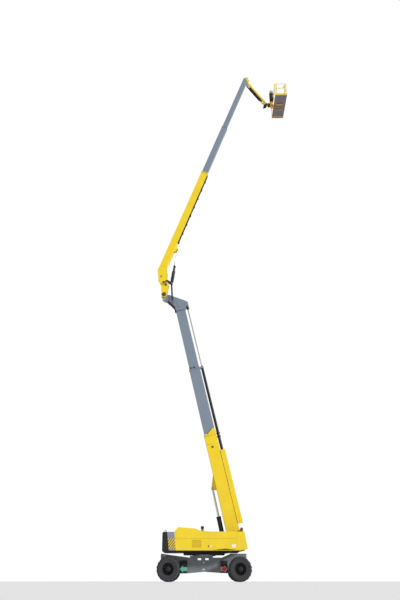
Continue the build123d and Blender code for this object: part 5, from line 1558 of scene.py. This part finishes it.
class BOOMLIFT_OT_console(bpy.types.Operator):
    """Adds the control console's panel, levers, guard, covers and hoses"""

    bl_idname = "boomlift.console"
    bl_label = "Control console"

    def execute(self, context):
        hose = context.scene.boomlift_trim.hose
        low, high = corner("control_console"), corner("control_console", 1)
        middle = (low + high) / 2
        panel = Shape()
        slope = [
            (low.x + 0.005, high.z - 0.17), (high.x - 0.005, high.z - 0.17),
            (high.x - 0.005, high.z + 0.02), (low.x + 0.005, high.z + 0.09)
        ]
        panel.plate(slope, low.y - 0.008, high.y + 0.008)
        panel.piece("console_panel", "basket", "grey_paint", "panel_grey")
        self.levers(low, high, middle)
        guard = Shape()
        for y in (low.y - 0.012, high.y + 0.012):
            bend = [(0.02, -0.12), (0.01, 0.06), (0.05, 0.11)]
            path = [(low.x + x, y, high.z + z) for x, z in bend]
            guard.pipe(path + [(high.x - x, y, high.z + z) for x, z in reversed(bend)], 0.011)
        span = ((low.y - 0.012, 0.11), (middle.y, 0.112), (high.y + 0.012, 0.11))
        guard.pipe([(low.x + 0.05, y, high.z + z) for y, z in span], 0.011)
        guard.piece("console_guard", "basket", "yellow_paint")
        self.covers(low, high, middle)
        lines = Shape()
        for i in range(3):
            y = middle.y - 0.05 + 0.05 * i
            fall = ((0, 0.01), (0, -0.12), (-0.02, -0.30), (-0.01, -0.46), (0.03, -0.58))
            lines.pipe([(middle.x + x, y, low.z + z) for x, z in fall], hose * 0.8)
        lines.piece("console_hoses", "basket", "black_plastic", "hose_rubber")
        return {"FINISHED"}

    def levers(self, low, high, middle):
        """Joysticks, switches, the stop button and its collar."""
        top = high.z + 0.05
        black = Shape()
        for y in (-0.12, 0.12):
            spot = Vector((middle.x - 0.02, middle.y + y, top))
            black.rod(spot, spot + Vector((0, 0, 0.016)), 0.034, tip=0.020, segments=28)
            black.rod(spot, spot + Vector((0, 0, 0.075)), 0.008, segments=14)
            black.ball(spot + Vector((0, 0, 0.085)), 0.020, flatten=1.2)
        for i in range(6):
            spot = Vector((middle.x + 0.06, middle.y - 0.15 + 0.06 * i, top))
            black.rod(spot, spot + Vector((0, 0, 0.008)), 0.011, segments=6)
            black.rod(spot, spot + Vector((0.004, 0, 0.026)), 0.004, segments=10)
        black.piece("console_levers", "basket", "black_plastic")
        stop = Shape()
        spot = Vector((middle.x - 0.04, middle.y, top))
        stop.rod(spot, spot + Vector((0, 0, 0.02)), 0.012, segments=20)
        stop.turned(
            [(0.014, 0.0), (0.014, 0.022), (0.024, 0.026), (0.033, 0.018), (0.036, 0.0)], spot,
            (0, 0, 1)
        )
        stop.piece("stop_button", "basket", "amber_lens", "red_knob")

    def covers(self, low, high, middle):
        """The box's raised covers and their screws."""
        shape = Shape()
        shape.block(
            (low.x - 0.006, low.y + 0.03, low.z + 0.06),
            (low.x + 0.002, high.y - 0.03, high.z - 0.20), bevel=0.003
        )
        for y, out in ((low.y, -1), (high.y, 1)):
            start = (low.x + 0.03, y - out * 0.002, low.z + 0.06)
            shape.block(start, (high.x - 0.03, y + out * 0.006, high.z - 0.20), bevel=0.003)
        shape.piece("console_covers", "basket", "black_plastic")
        screws = Shape()
        spots = [
            (low.x - 0.006, y, z)
            for y in (low.y + 0.05, high.y - 0.05)
            for z in (low.z + 0.09, middle.z, high.z - 0.23)
        ]
        screws.bolts(spots, (-1, 0, 0), 0.007, 0.005)
        screws.piece("console_screws", "basket", "steel", "bare_steel")


class BOOMLIFT_OT_stage(bpy.types.Operator):
    """Sets the pale floor, the soft light and the camera at floor level"""

    bl_idname = "boomlift.stage"
    bl_label = "Studio"

    def execute(self, context):
        view = context.scene.boomlift_view
        self.floor()
        self.light()
        self.camera(view)
        context.scene.view_settings.view_transform = "Standard"
        return {"FINISHED"}

    def floor(self):
        shape = bmesh.new()
        bmesh.ops.create_grid(shape, x_segments=1, y_segments=1, size=FLOOR_SIZE)
        bmesh.ops.translate(shape, verts=shape.verts, vec=(0, 0, -0.001))
        mesh = bpy.data.meshes.new("floor")
        shape.to_mesh(mesh)
        shape.free()
        finish = Finish("studio_floor", (0.8, 0.8, 0.8), 0.9)
        mesh.materials.append(finish.material)
        floor = bpy.data.objects.new("floor", mesh)
        bpy.context.collection.objects.link(floor)
        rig.stage(floor)

    def light(self):
        scene = bpy.context.scene
        scene.world = bpy.data.worlds.new("studio")
        scene.world.use_nodes = True
        tree = scene.world.node_tree
        sky = tree.nodes["Background"]
        sky.inputs["Color"].default_value = (1, 1, 1, 1)
        sky.inputs["Strength"].default_value = SKY_STRENGTH
        backdrop = tree.nodes.new("ShaderNodeBackground")
        backdrop.inputs["Color"].default_value = (1, 1, 1, 1)
        backdrop.inputs["Strength"].default_value = 1.0
        path = tree.nodes.new("ShaderNodeLightPath")
        blend = tree.nodes.new("ShaderNodeMixShader")
        tree.links.new(path.outputs["Is Camera Ray"], blend.inputs[0])
        tree.links.new(sky.outputs[0], blend.inputs[1])
        tree.links.new(backdrop.outputs[0], blend.inputs[2])
        tree.links.new(blend.outputs[0], tree.nodes["World Output"].inputs["Surface"])
        view = scene.boomlift_view
        for name, strength, azimuth, elevation in (
            ("key", view.sun, view.sun_azimuth, view.sun_height),
            ("fill", view.sun * 0.12, -radians(70), radians(35))
        ):
            lamp = bpy.data.lights.new(name, "SUN")
            lamp.energy = strength
            lamp.angle = radians(6)
            light = bpy.data.objects.new(name, lamp)
            flat = cos(elevation)
            towards = Vector((flat * sin(azimuth), -flat * cos(azimuth), sin(elevation)))
            light.rotation_euler = towards.to_track_quat("Z", "Y").to_euler()
            bpy.context.collection.objects.link(light)

    def camera(self, view):
        data = bpy.data.cameras.new("camera")
        data.sensor_width = 36
        data.lens = view.lens
        data.clip_end = 1000
        camera = bpy.data.objects.new("camera", data)
        camera.location = (MACHINE.x + view.offset, -view.distance, view.height)
        camera.rotation_euler = (pi / 2 + view.pitch, 0, 0)
        bpy.context.collection.objects.link(camera)
        bpy.context.scene.camera = camera


class BoomLiftView(bpy.types.PropertyGroup):
    lens: FloatProperty(name="Lens", description="Focal length", default=33.14, unit="CAMERA")
    distance: FloatProperty(
        name="Distance", description="From the camera to the machine's middle plane", default=32.9,
        subtype="DISTANCE"
    )
    offset: FloatProperty(
        name="Offset", description="The camera's place along the machine from the slewing axis",
        default=-0.22, subtype="DISTANCE"
    )
    height: FloatProperty(
        name="Height", description="The camera's height over the floor", default=0.03,
        subtype="DISTANCE"
    )
    pitch: FloatProperty(
        name="Pitch", description="How far the camera looks up", default=radians(27),
        subtype="ANGLE"
    )
    sun: FloatProperty(name="Sun", description="Strength of the key light", default=4.1, min=0)
    sun_azimuth: FloatProperty(
        name="Sun azimuth", description="How far to the right of the camera the key light stands",
        default=radians(66), subtype="ANGLE"
    )
    sun_height: FloatProperty(
        name="Sun height", description="The key light's angle over the floor", default=radians(21),
        subtype="ANGLE"
    )


class BoomLiftColours(bpy.types.PropertyGroup):
    yellow: FloatVectorProperty(
        name="Yellow", description="Paint of the hoods and the yellow booms",
        default=srgb(236, 205, 26), subtype="COLOR", min=0, max=1
    )
    grey: FloatVectorProperty(
        name="Boom grey", description="Paint of the inner boom sections",
        default=srgb(122, 134, 149), subtype="COLOR", min=0, max=1
    )


class BoomLiftTrim(bpy.types.PropertyGroup):
    wheel_nuts: IntProperty(
        name="Wheel nuts", description="Nuts on each wheel", default=10, min=4, max=20
    )
    nut_circle: FloatProperty(
        name="Nut circle", description="Radius of the ring of wheel nuts", default=0.205,
        subtype="DISTANCE"
    )
    hose: FloatProperty(
        name="Hose", description="Radius of the hydraulic hoses", default=0.016, subtype="DISTANCE"
    )
    bolt: FloatProperty(
        name="Bolt", description="Radius of the larger bolt heads", default=0.016,
        subtype="DISTANCE"
    )


STEPS = [
    "paint", "wheels", "chassis", "turntable", "hoods", "lower_boom", "elbow", "upper_boom",
    "cylinders", "jib", "basket", "console", "stage"
]


class BOOMLIFT_PT_panel(bpy.types.Panel):
    """Lists the sizes, the colours and the steps that dress the lift"""

    bl_idname = "BOOMLIFT_PT_panel"
    bl_label = "Boom lift"
    bl_space_type = "VIEW_3D"
    bl_region_type = "UI"
    bl_category = "Boom Lift"

    def draw(self, context):
        scene = context.scene
        for group in (scene.boomlift_colours, scene.boomlift_trim, scene.boomlift_view):
            box = self.layout.box()
            for name in group.__annotations__:
                box.prop(group, name)
        for step in STEPS:
            self.layout.operator("boomlift." + step)


GROUPS = {
    "boomlift_view": BoomLiftView, "boomlift_colours": BoomLiftColours,
    "boomlift_trim": BoomLiftTrim
}
CLASSES = [
    *GROUPS.values(), BOOMLIFT_OT_paint, BOOMLIFT_OT_wheels, BOOMLIFT_OT_chassis,
    BOOMLIFT_OT_turntable, BOOMLIFT_OT_hoods, BOOMLIFT_OT_lower_boom, BOOMLIFT_OT_elbow,
    BOOMLIFT_OT_upper_boom, BOOMLIFT_OT_cylinders, BOOMLIFT_OT_jib, BOOMLIFT_OT_basket,
    BOOMLIFT_OT_console, BOOMLIFT_OT_stage, BOOMLIFT_PT_panel
]


def register():
    for item in CLASSES:
        bpy.utils.register_class(item)
    for name, group in GROUPS.items():
        setattr(bpy.types.Scene, name, PointerProperty(type=group))


def unregister():
    for name in GROUPS:
        delattr(bpy.types.Scene, name)
    for item in reversed(CLASSES):
        bpy.utils.unregister_class(item)


def main():
    register()
    for step in STEPS:
        getattr(bpy.ops.boomlift, step)()
    low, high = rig.bounds()
    sizes = {"cad": [list(CAD_LOW), list(CAD_HIGH)], "visual": [list(low), list(high)]}
    with open("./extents.json", "w") as file:
        json.dump(sizes, file)


if __name__ == "__main__":
    main()
